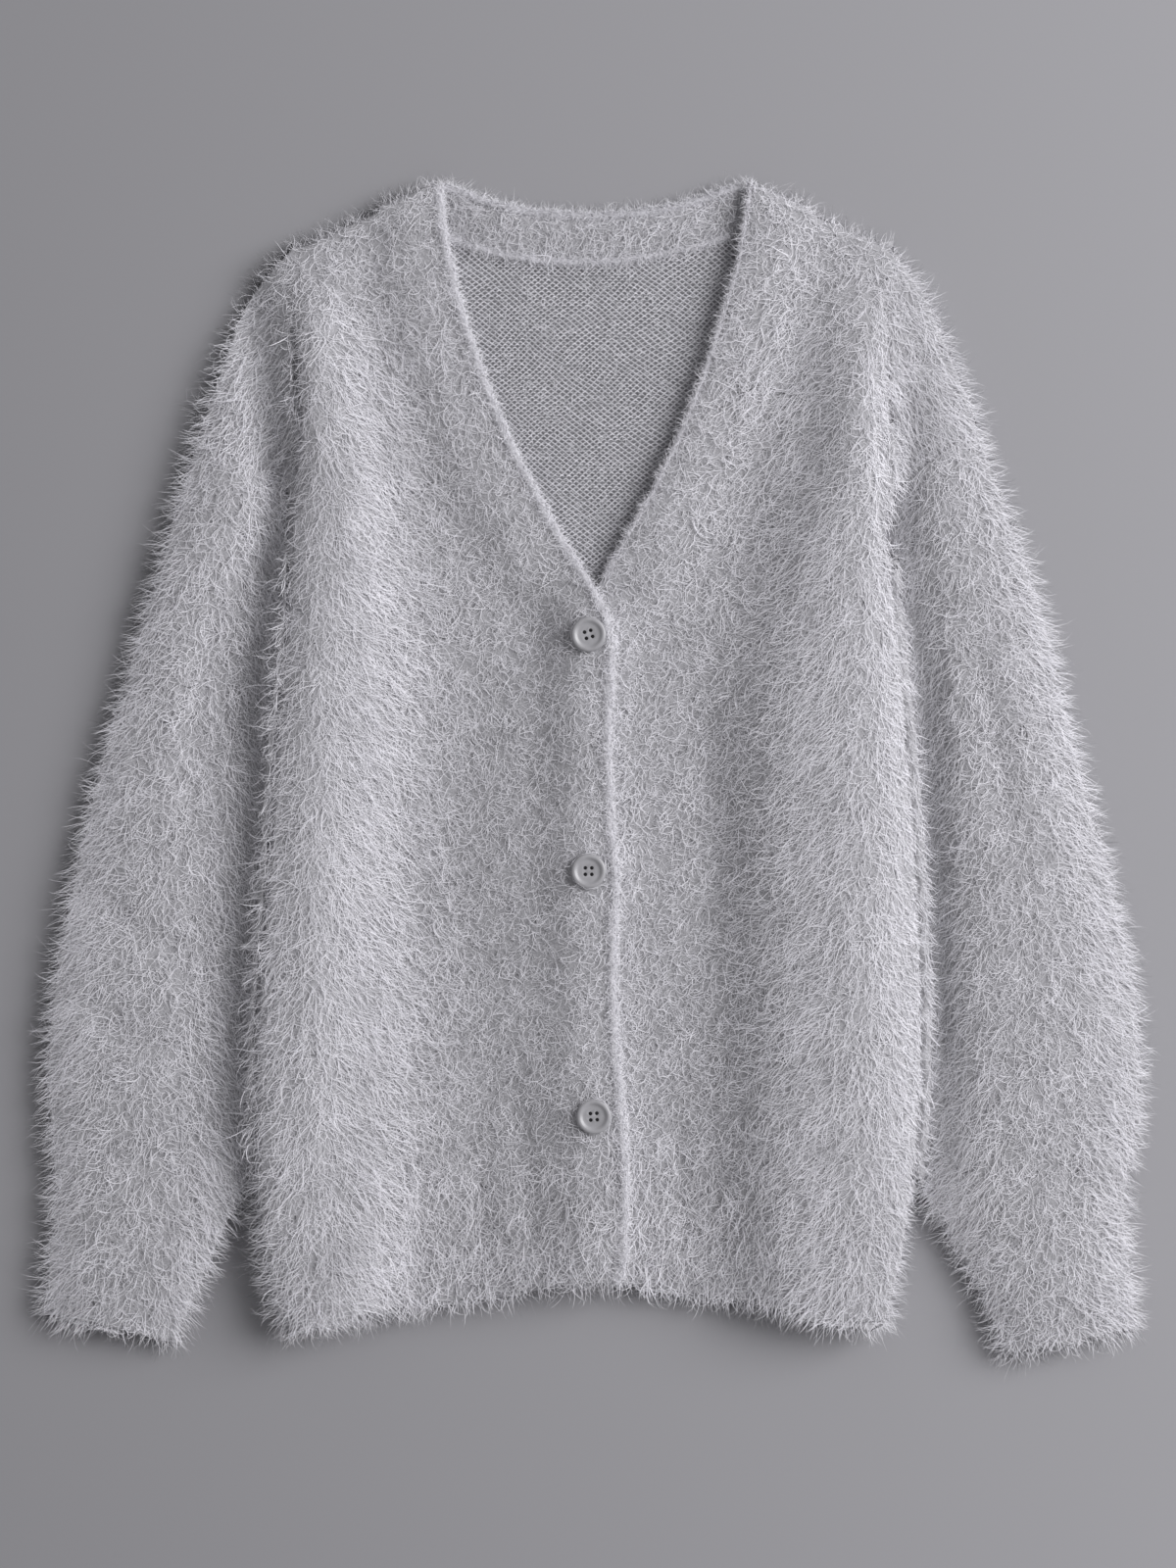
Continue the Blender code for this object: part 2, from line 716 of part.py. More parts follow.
def centre_on_origin():
    """Moves every piece so that the middle of the garment's box stands over the origin."""
    bpy.context.view_layer.update()
    solids = [o for o in bpy.data.objects if o.type == "MESH" and not o.hide_render]
    corners = [o.matrix_world @ v.co for o in solids for v in o.data.vertices]
    middle_x = (min(c.x for c in corners) + max(c.x for c in corners)) / 2
    middle_y = (min(c.y for c in corners) + max(c.y for c in corners)) / 2
    for solid in solids:
        solid.location.x -= middle_x
        solid.location.y -= middle_y


def build():
    for leftover in list(bpy.data.objects):
        bpy.data.objects.remove(leftover)
    knit = plain_material("long haired knit", FUR_GREY, 0.95)
    rib = plain_material("rib knit", FUR_GREY, 0.9)
    resin = plain_material("button resin", BUTTON_GREY, 0.4)
    back("back", BODY_LEVELS, knit)
    back("hem_back", HEM_LEVELS, rib)
    for side in ("right", "left"):
        front("front_" + side, side, BODY_LEVELS, knit)
        front("hem_front_" + side, side, HEM_LEVELS, rib)
        front_band("band_" + side, side, rib)
        sleeve(side, knit)
        cuff(side, rib)
    back_neck_band("band_back_neck", rib)
    for index, (place, turn) in enumerate(zip(BUTTON_PLACES, BUTTON_TURN), start=1):
        button(index, place, turn, resin)
    centre_on_origin()


build()
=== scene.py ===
# %% [markdown]
# # A brushed-knit cardigan, laid flat
#
# The cardigan is knitted in a soft yarn whose long hairs have been brushed out, buttoned, and laid on a
# table with its sides folded under. A solid model of it already has the shape of every panel. This lesson
# dresses that model: each panel gets a fine knitted skin, the skin grows a coat of real hair, the inside of
# the back gets its purl rows, and the buttons are turned properly. Everything is in metres, with z = 0 on
# the table, +Y towards the neck and +X towards the wearer's left.

# %% Load the solid model
import json
import math

import bmesh
import bpy
import numpy as np
from mathutils import Vector
from mathutils.bvhtree import BVHTree
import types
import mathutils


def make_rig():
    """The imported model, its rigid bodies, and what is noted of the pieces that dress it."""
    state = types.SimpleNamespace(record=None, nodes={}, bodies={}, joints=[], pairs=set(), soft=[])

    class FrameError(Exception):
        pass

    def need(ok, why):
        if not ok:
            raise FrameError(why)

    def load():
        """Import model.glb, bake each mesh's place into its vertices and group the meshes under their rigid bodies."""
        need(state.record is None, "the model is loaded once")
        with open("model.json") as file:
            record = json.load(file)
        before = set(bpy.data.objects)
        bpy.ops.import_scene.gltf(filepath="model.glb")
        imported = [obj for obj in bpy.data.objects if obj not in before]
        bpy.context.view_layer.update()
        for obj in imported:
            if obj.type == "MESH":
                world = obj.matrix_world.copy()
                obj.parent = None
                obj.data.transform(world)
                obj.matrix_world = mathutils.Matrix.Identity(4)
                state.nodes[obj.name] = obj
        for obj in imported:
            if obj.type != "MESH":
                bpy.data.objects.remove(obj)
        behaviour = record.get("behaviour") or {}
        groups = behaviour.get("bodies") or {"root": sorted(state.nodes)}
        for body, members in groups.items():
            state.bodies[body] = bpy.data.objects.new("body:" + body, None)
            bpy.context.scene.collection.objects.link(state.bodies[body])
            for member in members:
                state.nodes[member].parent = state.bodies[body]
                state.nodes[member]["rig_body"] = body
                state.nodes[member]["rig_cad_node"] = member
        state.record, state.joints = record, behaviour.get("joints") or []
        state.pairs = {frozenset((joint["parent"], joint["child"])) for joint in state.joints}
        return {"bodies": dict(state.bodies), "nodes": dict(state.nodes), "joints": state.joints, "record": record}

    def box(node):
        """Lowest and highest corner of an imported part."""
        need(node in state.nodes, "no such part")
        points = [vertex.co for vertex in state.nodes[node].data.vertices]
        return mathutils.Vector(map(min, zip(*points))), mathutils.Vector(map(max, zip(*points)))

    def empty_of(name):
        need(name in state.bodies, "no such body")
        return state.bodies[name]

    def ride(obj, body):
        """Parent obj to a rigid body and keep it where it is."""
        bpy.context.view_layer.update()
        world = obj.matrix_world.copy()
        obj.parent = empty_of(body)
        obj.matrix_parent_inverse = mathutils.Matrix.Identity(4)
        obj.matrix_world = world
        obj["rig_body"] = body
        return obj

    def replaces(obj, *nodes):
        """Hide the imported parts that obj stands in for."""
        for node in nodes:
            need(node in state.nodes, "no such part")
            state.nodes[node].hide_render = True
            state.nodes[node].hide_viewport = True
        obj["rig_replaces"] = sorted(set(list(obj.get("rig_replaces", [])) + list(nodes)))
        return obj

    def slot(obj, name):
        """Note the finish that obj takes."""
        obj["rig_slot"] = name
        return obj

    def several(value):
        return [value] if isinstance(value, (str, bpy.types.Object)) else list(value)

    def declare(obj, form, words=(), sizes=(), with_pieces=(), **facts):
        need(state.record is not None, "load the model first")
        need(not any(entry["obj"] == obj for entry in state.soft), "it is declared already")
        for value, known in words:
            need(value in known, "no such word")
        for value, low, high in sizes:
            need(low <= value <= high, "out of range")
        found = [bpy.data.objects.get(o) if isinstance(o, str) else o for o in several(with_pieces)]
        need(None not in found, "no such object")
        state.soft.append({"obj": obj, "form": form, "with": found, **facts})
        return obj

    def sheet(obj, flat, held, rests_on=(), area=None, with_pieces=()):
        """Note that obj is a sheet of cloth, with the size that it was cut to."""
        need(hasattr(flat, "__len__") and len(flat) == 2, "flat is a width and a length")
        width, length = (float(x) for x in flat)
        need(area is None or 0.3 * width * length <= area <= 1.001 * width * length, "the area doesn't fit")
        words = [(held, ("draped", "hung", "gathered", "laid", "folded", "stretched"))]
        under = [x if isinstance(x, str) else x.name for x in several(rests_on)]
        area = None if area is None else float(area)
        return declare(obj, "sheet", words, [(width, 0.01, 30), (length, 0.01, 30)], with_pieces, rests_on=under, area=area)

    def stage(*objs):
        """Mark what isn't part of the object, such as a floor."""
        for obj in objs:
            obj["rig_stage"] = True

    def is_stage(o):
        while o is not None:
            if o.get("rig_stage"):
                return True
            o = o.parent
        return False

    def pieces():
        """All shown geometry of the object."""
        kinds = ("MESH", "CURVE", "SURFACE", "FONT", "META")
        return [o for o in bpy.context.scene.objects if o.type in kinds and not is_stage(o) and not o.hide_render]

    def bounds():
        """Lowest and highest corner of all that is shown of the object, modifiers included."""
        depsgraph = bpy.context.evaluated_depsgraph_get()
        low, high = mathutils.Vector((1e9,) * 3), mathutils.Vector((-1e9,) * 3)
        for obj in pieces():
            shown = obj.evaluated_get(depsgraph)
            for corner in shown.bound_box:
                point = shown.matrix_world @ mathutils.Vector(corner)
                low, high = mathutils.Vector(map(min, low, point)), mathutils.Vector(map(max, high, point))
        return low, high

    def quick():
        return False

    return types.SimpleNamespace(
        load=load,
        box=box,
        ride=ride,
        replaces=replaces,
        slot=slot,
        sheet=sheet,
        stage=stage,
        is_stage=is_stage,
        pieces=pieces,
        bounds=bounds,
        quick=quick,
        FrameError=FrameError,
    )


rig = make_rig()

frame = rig.load()
cad_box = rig.bounds()
box_low, box_high = (np.array(corner) for corner in cad_box)
MM = 0.001
SIDES = (("right", -1), ("left", 1))  # of the wearer, with the sign of x there
UP, DOWN = Vector((0, 0, 1)), Vector((0, 0, -1))
HIGH = 0.1  # metres, over everything
print("nodes:", ", ".join(sorted(frame["nodes"])))


# %% [markdown]
# Some helpers are used all through. `smooth` is the S-shaped ramp from 0 to 1 that keeps a change from
# showing where it starts and ends. `unit` gives arrows a length of one. `choose` leaves exactly one object
# selected, because an operator acts on whatever is selected. `as_piece` puts a new mesh in the scene, and
# `dress` gives a piece its material, the body that it rides on and its slot.

# %% Small helpers
def smooth(value):
    t = np.clip(value, 0.0, 1.0)
    return t * t * (3.0 - 2.0 * t)


def unit(arrows):
    return arrows / np.maximum(np.linalg.norm(arrows, axis=-1, keepdims=True), 1e-12)


def choose(piece):
    if bpy.context.object and bpy.context.object.mode != "OBJECT":
        bpy.ops.object.mode_set(mode="OBJECT")
    bpy.ops.object.select_all(action="DESELECT")
    piece.select_set(True)
    bpy.context.view_layer.objects.active = piece


def as_piece(name, mesh):
    piece = bpy.data.objects.new(name, mesh)
    bpy.context.scene.collection.objects.link(piece)
    return piece


def dress(piece, material, slot):
    piece.data.materials.append(material)
    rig.ride(piece, "root")
    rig.slot(piece, slot)


# %% [markdown]
# ## The camera, the table and the light
#
# The garment is seen from straight above, from far enough away that its height hardly spreads it. The
# lens follows from the height of the camera and the stretch of table that the picture takes in.

# %% Camera
VIEW_LENGTH = 904 * MM  # of table, from the top of the picture to its bottom
CAMERA_HEIGHT = 2.6
PILE_HEIGHT = 15 * MM  # the level at which the picture's scale is true
SENSOR = 36.0

bpy.ops.object.select_all(action="DESELECT")
bpy.ops.object.camera_add(location=(-2.3 * MM, -7.3 * MM, CAMERA_HEIGHT), rotation=(0, 0, 0))
camera = bpy.context.object
camera.data.sensor_width = SENSOR
camera.data.lens = SENSOR * (CAMERA_HEIGHT - PILE_HEIGHT) / VIEW_LENGTH
bpy.context.scene.camera = camera
print(f"lens {camera.data.lens:.1f} mm at {CAMERA_HEIGHT} m")


# %% [markdown]
# Shader maths is easier to read as sums than as a web of nodes. `Wire` stands for one output of a node, and
# adding or multiplying it makes the Math node. `Finish` holds one material and makes any other node.

# %% Writing shaders as sums
class Wire:
    """One output of a node. Arithmetic on it adds Math nodes."""

    def __init__(self, finish, plug):
        self.finish, self.plug = finish, plug

    def maths(self, operation, *values):
        inputs = dict(enumerate(values))
        return self.finish.node("ShaderNodeMath", inputs, {"operation": operation})

    def __add__(self, other):
        return self.maths("ADD", self, other)

    def __sub__(self, other):
        return self.maths("SUBTRACT", self, other)

    def __mul__(self, other):
        return self.maths("MULTIPLY", self, other)


class Finish:
    """A material, and the methods that add its nodes."""

    def __init__(self, name):
        self.material = bpy.data.materials.new(name)
        self.material.use_nodes = True
        self.tree = self.material.node_tree
        self.tree.nodes.clear()

    def node(self, kind, inputs=None, settings=None, output=0):
        made = self.tree.nodes.new(kind)
        for key, value in (settings or {}).items():
            setattr(made, key, value)
        for key, value in (inputs or {}).items():
            if isinstance(value, Wire):
                self.tree.links.new(value.plug, made.inputs[key])
            else:
                made.inputs[key].default_value = value
        return Wire(self, made.outputs[output]) if made.outputs else None

    def mix(self, share, first, second):
        """The colour that is `first` where share is 0 and `second` where it is 1."""
        return self.node("ShaderNodeMix", {0: share, 6: first, 7: second}, {"data_type": "RGBA"}, 2)

    def place(self):
        """The point on the piece, in metres."""
        return self.node("ShaderNodeTexCoord", output="Object")

    def noise(self, scale, detail):
        """Noise about 0.5, with this many lumps to the metre."""
        return self.node("ShaderNodeTexNoise", {"Vector": self.place(), "Scale": scale, "Detail": detail})

    def bump(self, height, strength, distance):
        return self.node("ShaderNodeBump", {"Height": height, "Strength": strength, "Distance": distance})

    def surface(self, **sockets):
        """The Principled shader with these sockets, wired to the output."""
        inputs = {key.replace("_", " "): value for key, value in sockets.items()}
        shader = self.node("ShaderNodeBsdfPrincipled", inputs)
        self.node("ShaderNodeOutputMaterial", {"Surface": shader})
        return self.material


def grey(value):
    """A grey with a breath of violet in it, as RGBA."""
    return (value * 1.003, value * 0.989, value * 1.055, 1.0)


# %% [markdown]
# The table is one large plane of pale paper whose colour is painted a little lighter on the lamp's side:
# painted light. One wide lamp stands far out to the right, low enough to draw the folds, and the sky fills
# the rest. A lamp that is far away lights the near and the far side of the garment alike.

# %% Table and lamp
TABLE_SIZE = 14.0
PAPER_DARK, PAPER_LIGHT, PAPER_CHANGE = 0.238, 0.292, 1.45  # the change is per metre towards +X
LAMP_AWAY, LAMP_TURN, LAMP_RISE = 5.0, math.radians(18), math.radians(34)
LAMP_SIZE, LAMP_POWER = 3.8, 358.0
SKY = 0.37

bpy.ops.object.select_all(action="DESELECT")
bpy.ops.mesh.primitive_plane_add(size=TABLE_SIZE, location=(0, 0, 0))
table = bpy.context.object
table.name = "table"
paper = Finish("table_paper")
across = paper.node("ShaderNodeSeparateXYZ", {"Vector": paper.place()})
# painted light: the paper's colour grows lighter towards +X, the lamp's side
lighter = paper.node("ShaderNodeClamp", {"Value": across * PAPER_CHANGE + 0.5})
pale = paper.mix(lighter, grey(PAPER_DARK), grey(PAPER_LIGHT))
table.data.materials.append(paper.surface(Base_Color=pale, Roughness=0.9))
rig.stage(table)

level = LAMP_AWAY * math.cos(LAMP_RISE)
spot = Vector((level * math.cos(LAMP_TURN), level * math.sin(LAMP_TURN), LAMP_AWAY * math.sin(LAMP_RISE)))
bpy.ops.object.light_add(type="AREA", location=spot)
lamp = bpy.context.object
lamp.name = "key_lamp"
lamp.data.shape = "DISK"
lamp.data.size = LAMP_SIZE
lamp.data.energy = LAMP_POWER
lamp.rotation_euler = (-spot).to_track_quat("-Z", "Y").to_euler()
lamp.visible_camera = False
print("lamp at", [round(v, 2) for v in spot])

sky = bpy.data.worlds.new("studio")
sky.use_nodes = True
sky.node_tree.nodes["Background"].inputs["Color"].default_value = (1.0, 1.0, 1.01, 1.0)
sky.node_tree.nodes["Background"].inputs["Strength"].default_value = SKY
bpy.context.scene.world = sky
bpy.context.scene.view_settings.view_transform = "Standard"


# %% [markdown]
# ## The knitted skin of each panel
#
# The solids reach as far as the tips of the hair, so the knit itself lies a few millimetres further in.
# Each solid is copied, its loose triangles are joined, and only the faces that can be seen are cut fine:
# the rest stay coarse. A face that looks up can be seen if nothing lies over it, or from the side if nothing
# stands beside it. Any other can be seen if a short ray along its normal meets no other panel.

# %% Which faces can be seen
solids = frame["nodes"]
COVERED_WITHIN, SHELTER = 9 * MM, 70 * MM  # how near another panel hides a face, beside it and over it
LOOKS_UP, LOOKS_DOWN = 0.2, -0.6  # the z of a normal from which a face counts as a top or an underside
NEARLY_LEVEL = 0.9
SOLE, SOLE_WAY = 0.6 * MM, -0.7  # the height and the normal of faces that rest on the table
RAY_OFF, RAY_UP = 0.15, 0.4  # mm, how far a ray starts from its face


def arrays_of(piece):
    """The points and triangles of a mesh, as arrays."""
    mesh = piece.data
    mesh.calc_loop_triangles()
    points = np.empty(len(mesh.vertices) * 3)
    mesh.vertices.foreach_get("co", points)
    corners = np.empty(len(mesh.loop_triangles) * 3, np.int32)
    mesh.loop_triangles.foreach_get("vertices", corners)
    return points.reshape(-1, 3), corners.reshape(-1, 3)


def tree_from(meshes):
    """One search tree over several meshes, each as points and triangles."""
    points, faces, count = [], [], 0
    for co, triangles in meshes:
        points.append(co)
        faces.append(triangles + count)
        count += len(co)
    return BVHTree.FromPolygons(np.concatenate(points).tolist(), np.concatenate(faces).tolist())


def tree_of(pieces):
    return tree_from(arrays_of(piece) for piece in pieces)


def top_at(tree, x, y):
    """The highest point of the pieces in a tree over a place on the table, or None."""
    return tree.ray_cast(Vector((x, y, HIGH)), DOWN)[0]


def face_facts(points, triangles):
    """The middle, the normal and the area of each triangle."""
    a, b, c = (points[triangles[:, k]] for k in range(3))
    cross = np.cross(b - a, c - a)
    return (a + b + c) / 3, unit(cross), np.linalg.norm(cross, axis=1) / 2


def touched(triangles, count):
    """Which of this many points belong to the triangles."""
    return np.bincount(triangles.ravel(), minlength=count) > 0


def seen_faces(points, triangles, tree):
    """Which faces show, which of them lean on a neighbour, and which show only from the side."""
    middle, normal, _ = face_facts(points, triangles)
    seen = np.ones(len(triangles), bool)
    seen[(middle[:, 2] < SOLE) & (normal[:, 2] < SOLE_WAY)] = False
    leaning, side_on = np.zeros(len(triangles), bool), np.zeros(len(triangles), bool)
    for k in np.flatnonzero(seen):
        way = Vector(normal[k])
        start = Vector(middle[k]) + way * RAY_OFF * MM
        leaning[k] = tree.ray_cast(start, way, COVERED_WITHIN)[0] is not None
        if way.z > LOOKS_UP:
            seen[k] = tree.ray_cast(start + UP * RAY_UP * MM, UP, SHELTER)[0] is None
            if not seen[k] and way.z < NEARLY_LEVEL:
                beside = Vector((way.x, way.y, 0)).normalized()
                side_on[k] = seen[k] = tree.ray_cast(start, beside, SHELTER)[0] is None
        else:
            seen[k] = not leaning[k]
    return seen, leaning & ~side_on, side_on


def round_of(name):
    """The centre and the radius of a round solid, seen from above."""
    low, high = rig.box(name)
    return (low.x + high.x) / 2, (low.y + high.y) / 2, (high.x - low.x) / 2


NECK = "band_back_neck"
BUTTONS = ("button_1", "button_2", "button_3")
button_at = {name: round_of(name) for name in BUTTONS}
solid_tree = tree_of([solid for name, solid in solids.items() if name not in BUTTONS])
print("faces in the solids:", sum(len(o.data.polygons) for o in solids.values()))


# %% [markdown]
# `split_long` halves every edge over a limit, again and again, and leaves the short ones alone. That
# keeps the triangles even, which a plain subdivide of a long thin mesh doesn't.

# %% Copy a solid and cut it fine
def joined_copy(node, name):
    """A copy of a solid with its loose triangles joined, as a new object."""
    mesh = solids[node].data.copy()
    mesh.materials.clear()
    mesh.name = name
    piece = as_piece(name, mesh)
    choose(piece)
    bpy.ops.mesh.customdata_custom_splitnormals_clear()
    bpy.ops.object.mode_set(mode="EDIT")
    bpy.ops.mesh.select_all(action="SELECT")
    bpy.ops.mesh.remove_doubles(threshold=0.02 * MM)
    bpy.ops.object.mode_set(mode="OBJECT")
    return piece


def split_long(piece, limit, wanted=None, rounds=7):
    """Halve each edge longer than the limit that belongs to a wanted face."""
    choose(piece)
    bpy.ops.object.mode_set(mode="EDIT")
    for _ in range(rounds):
        shape = bmesh.from_edit_mesh(piece.data)
        flags = wanted(shape) if wanted else None
        for face in shape.faces:
            face.select = False
        for edge in shape.edges:
            edge.select = False
        long = [
            edge
            for edge in shape.edges
            if edge.calc_length() > limit and (flags is None or any(flags[f.index] for f in edge.link_faces))
        ]
        if not long:
            break
        for edge in long:
            edge.select = True
        bmesh.update_edit_mesh(piece.data)
        bpy.ops.mesh.subdivide(number_cuts=1)
        bpy.ops.mesh.select_all(action="SELECT")
        bpy.ops.mesh.quads_convert_to_tris(quad_method="SHORTEST_DIAGONAL", ngon_method="BEAUTY")
    bpy.ops.object.mode_set(mode="OBJECT")


def seen_now(shape):
    """The seen flag of each face of the mesh being edited."""
    shape.verts.ensure_lookup_table()
    shape.faces.index_update()
    points = np.array([v.co for v in shape.verts])
    triangles = np.array([[v.index for v in face.verts] for face in shape.faces])
    return seen_faces(points, triangles, solid_tree)[0]


# %% [markdown]
# The skin is then let in from the solid's face by the depth of the coat. A point between two seen faces
# moves in from both. A point in a seam only sinks, and is pushed a hair's breadth towards its neighbour, so
# that the two still meet. The hidden points go along with their neighbours, so that no wall is crumpled.

# %% Let the skin in
COARSE, FINE = 20 * MM, 7.5 * MM
LET_IN = {
    "back": 3.6, "front_right": 3.6, "front_left": 3.6, "sleeve_right": 3.8, "sleeve_left": 3.8,
    "hem_back": 3.4, "hem_front_right": 3.4, "hem_front_left": 3.4, "cuff_right": 3.4, "cuff_left": 3.4,
    "band_right": 1.2, "band_left": 2.0, NECK: 1.2,
}  # mm
V_LET_IN, WALL_EXTRA = 2.2 * MM, 1.2 * MM  # inside the V, and how much more on the walls of all but the bands
ARMPIT = 165 * MM  # below it the body's right side stands against the sleeve and keeps its full width
SIDE_EXTRA = {"front_right": -4.4, "hem_front_right": -4.4, "front_left": 4.6, "hem_front_left": 3.4}  # mm
SIDE_FROM, SIDE_RAMP, ARMPIT_RAMP = 150 * MM, 10 * MM, 45 * MM
RELAX_TIMES, FOLLOW_TIMES = 6, 5
SEAM_CLOSE = 0.5 * MM
SHARP = math.radians(50)
V_TOP, V_FOOT, V_HALF = 330 * MM, 60 * MM, 128 * MM  # where the inside of the back shows


def inside_v(points):
    return (np.abs(points[:, 0]) < V_HALF) & (points[:, 1] > V_FOOT) & (points[:, 1] < V_TOP)


def outside_v(points):
    return ~inside_v(points)


def vertex_sums(values, triangles, count):
    """Each vertex's sum of its faces' values."""
    total = np.zeros((count, 3))
    for k in range(3):
        np.add.at(total, triangles[:, k], values)
    return total


def relaxed(values, triangles, free, times, pull=0.5):
    """The values of the free points pulled to the mean of their neighbours', several times."""
    pairs = np.unique(np.sort(triangles[:, [0, 1, 1, 2, 2, 0]].reshape(-1, 2), axis=1), axis=0)
    degree = np.bincount(pairs.ravel(), minlength=len(values))[:, None]
    for _ in range(times):
        total = np.zeros_like(values)
        np.add.at(total, pairs[:, 0], values[pairs[:, 1]])
        np.add.at(total, pairs[:, 1], values[pairs[:, 0]])
        values = np.where(free[:, None], (1 - pull) * values + pull * total / np.maximum(degree, 1), values)
    return values


def put(skin, points):
    """Store new points in a skin and in its mesh."""
    skin["points"] = points
    skin["piece"].data.vertices.foreach_set("co", points.ravel())
    skin["piece"].data.update()


def knit_skin(node):
    """The knitted skin of one panel, and what its coat needs to know of it."""
    piece = joined_copy(node, node + "_knit")
    split_long(piece, COARSE)
    split_long(piece, FINE, seen_now)
    points, triangles = arrays_of(piece)
    seen, leaning, side_on = seen_faces(points, triangles, solid_tree)
    middle, normal, area = face_facts(points, triangles)
    side_way = normal.copy()
    normal[leaning & seen] = (0, 0, 1)  # in a seam the skin only sinks
    normal[side_on] = unit(normal[side_on] * np.array([1, 1, 0]))  # and below another it only draws back
    weight = np.where(seen, area, 0)[:, None] * normal
    outward = unit(vertex_sums(weight, triangles, len(points)))
    all_seen = ~touched(triangles[~seen], len(points))
    moved = np.linalg.norm(outward, axis=1) > 0.5
    let_in = np.full(len(points), LET_IN[node] * MM)
    if node == "back":
        let_in[inside_v(points)] = V_LET_IN
    wall = 1 - np.abs(outward[:, 2])
    let_in += wall * (0 if node.startswith("band") else WALL_EXTRA)
    side = smooth((np.abs(points[:, 0]) - SIDE_FROM) / SIDE_RAMP)
    side *= smooth((ARMPIT - points[:, 1]) / ARMPIT_RAMP)
    let_in += SIDE_EXTRA.get(node, 0) * MM * wall * side
    shift = -outward * (let_in * moved)[:, None]
    shift[:, :2] = relaxed(shift[:, :2], triangles, ~moved, FOLLOW_TIMES, 1.0)
    points = relaxed(points + shift, triangles, all_seen & moved, RELAX_TIMES)
    flank = vertex_sums(np.where(leaning & ~seen, area, 0)[:, None] * side_way, triangles, len(points))
    flank[:, 2] = 0
    points += unit(flank) * (SEAM_CLOSE * (moved & (np.linalg.norm(flank, axis=1) > 0)))[:, None]
    points[:, 2] = np.maximum(points[:, 2], 0)
    choose(piece)
    bpy.ops.object.shade_smooth_by_angle(angle=SHARP)
    skin = {"node": node, "piece": piece, "triangles": triangles, "seen": seen, "outward": outward}
    put(skin, points)
    return skin


skins = {node: knit_skin(node) for node in LET_IN}
for skin in skins.values():
    _, _, area = face_facts(skin["points"], skin["triangles"])
    print(
        f"{skin['node']}: {len(skin['triangles'])} triangles, {skin['seen'].sum()} seen, "
        f"{area.sum():.4f} m2 in all, {area[skin['seen']].sum():.4f} m2 seen"
    )


# %% [markdown]
# A sleeve that lies flat is a flattened tube: highest along its middle and low at both edges. So the arms
# are domed, by scaling their height. The turned-under sides of the body fall a little to their edges too.
# Both read the edges of the arm from the skins, row by row. The inner edge of each sleeve is drawn a little
# way under the body's side, so that the table never shows between them.

# %% Dome the arms and the sides
SLEEVES = ("sleeve_right", "cuff_right", "sleeve_left", "cuff_left")
DOME = {"right": (0.10, 0.42), "left": (0.55, 0.55)}  # of the height lost at the inner and outer edge
SIDE_FALL = {"right": 0.04, "left": 0.30}
CREST, SIDE = 138 * MM, 190 * MM
GROOVE = 180 * MM  # where the shoulder cap turns into the body
CAP_FROM = 130 * MM  # the cap is all that lies above this beyond the groove
ARM_HELD = 150 * MM  # below it the sleeve's own inner edge counts
TUCK, TUCK_FROM = 5 * MM, 16 * MM  # how far a sleeve is drawn under the body, and how much of it is drawn
TUCK_FOOT, TUCK_RAMPS = -262 * MM, (25 * MM, 20 * MM)  # its lower end, and the ramps at the armpit and there
INNER_BELOW, SIDE_BELOW, FALL_RAMP = 185 * MM, 160 * MM, 60 * MM  # where the inner edge and the side fall
ROW_HALF = 7 * MM
rows = np.linspace(cad_box[0][1] + 12 * MM, 318 * MM, 90)


def edges_along(names, wearer, heights):
    """The inner and outer edge of some skins at these heights, as distances from the middle line."""
    co = np.concatenate([skins[n]["points"] for n in names])
    co = co[co[:, 0] * wearer > 0]
    inner, outer = [], []
    for y in heights:
        near = np.abs(co[np.abs(co[:, 1] - y) < ROW_HALF, 0])
        inner.append(near.min())
        outer.append(near.max())
    return np.array(inner), np.array(outer)


arm_edges = {}
for side, wearer in SIDES:
    sleeve = [f"sleeve_{side}", f"cuff_{side}"]
    _, outer = edges_along(["back", f"front_{side}", *sleeve, "hem_back"], wearer, rows)
    held = rows < ARM_HELD
    inner = np.full(len(rows), GROOVE)
    inner[held], _ = edges_along(sleeve, wearer, rows[held])
    arm_edges[side] = (inner, outer)
    print(side, "arm from", inner.min().round(3), "to", outer.max().round(3), "m from the middle line")


def domed(node, points):
    """The points of a skin with their height scaled down towards the edges."""
    x, y = points[:, 0], points[:, 1]
    fall, tucked = np.ones(len(points)), np.zeros(len(points))
    for side, wearer in SIDES:
        away = x * wearer
        inner, outer = (np.interp(y, rows, edge) for edge in arm_edges[side])
        u = np.clip((away - (inner + outer) / 2) / ((outer - inner) / 2), -1, 1)
        inside, outside = DOME[side]
        depth = np.where(u < 0, smooth((INNER_BELOW - y) / FALL_RAMP) * inside, outside)
        arm = 1 - depth * (1 - np.sqrt(1 - u * u))
        if node in SLEEVES:
            fall = np.where(away > 0, arm, fall)
            near = np.clip(1 - (away - inner) / TUCK_FROM, 0, 1) * (away > 0)
            ends = smooth((ARMPIT - y) / TUCK_RAMPS[0]) * smooth((y - TUCK_FOOT) / TUCK_RAMPS[1])
            tucked -= wearer * TUCK * near * ends
        else:
            cap = (away > GROOVE) & (y > CAP_FROM)
            v = np.clip((away - CREST) / (SIDE - CREST), 0, 1)
            body = 1 - SIDE_FALL[side] * v * v * smooth((SIDE_BELOW - y) / FALL_RAMP)
            fall = np.where(away > 0, np.where(cap, arm, body), fall)
    return np.stack([x + tucked, y, points[:, 2] * fall], 1)


for node, skin in skins.items():
    if node != NECK:
        put(skin, domed(node, skin["points"]))
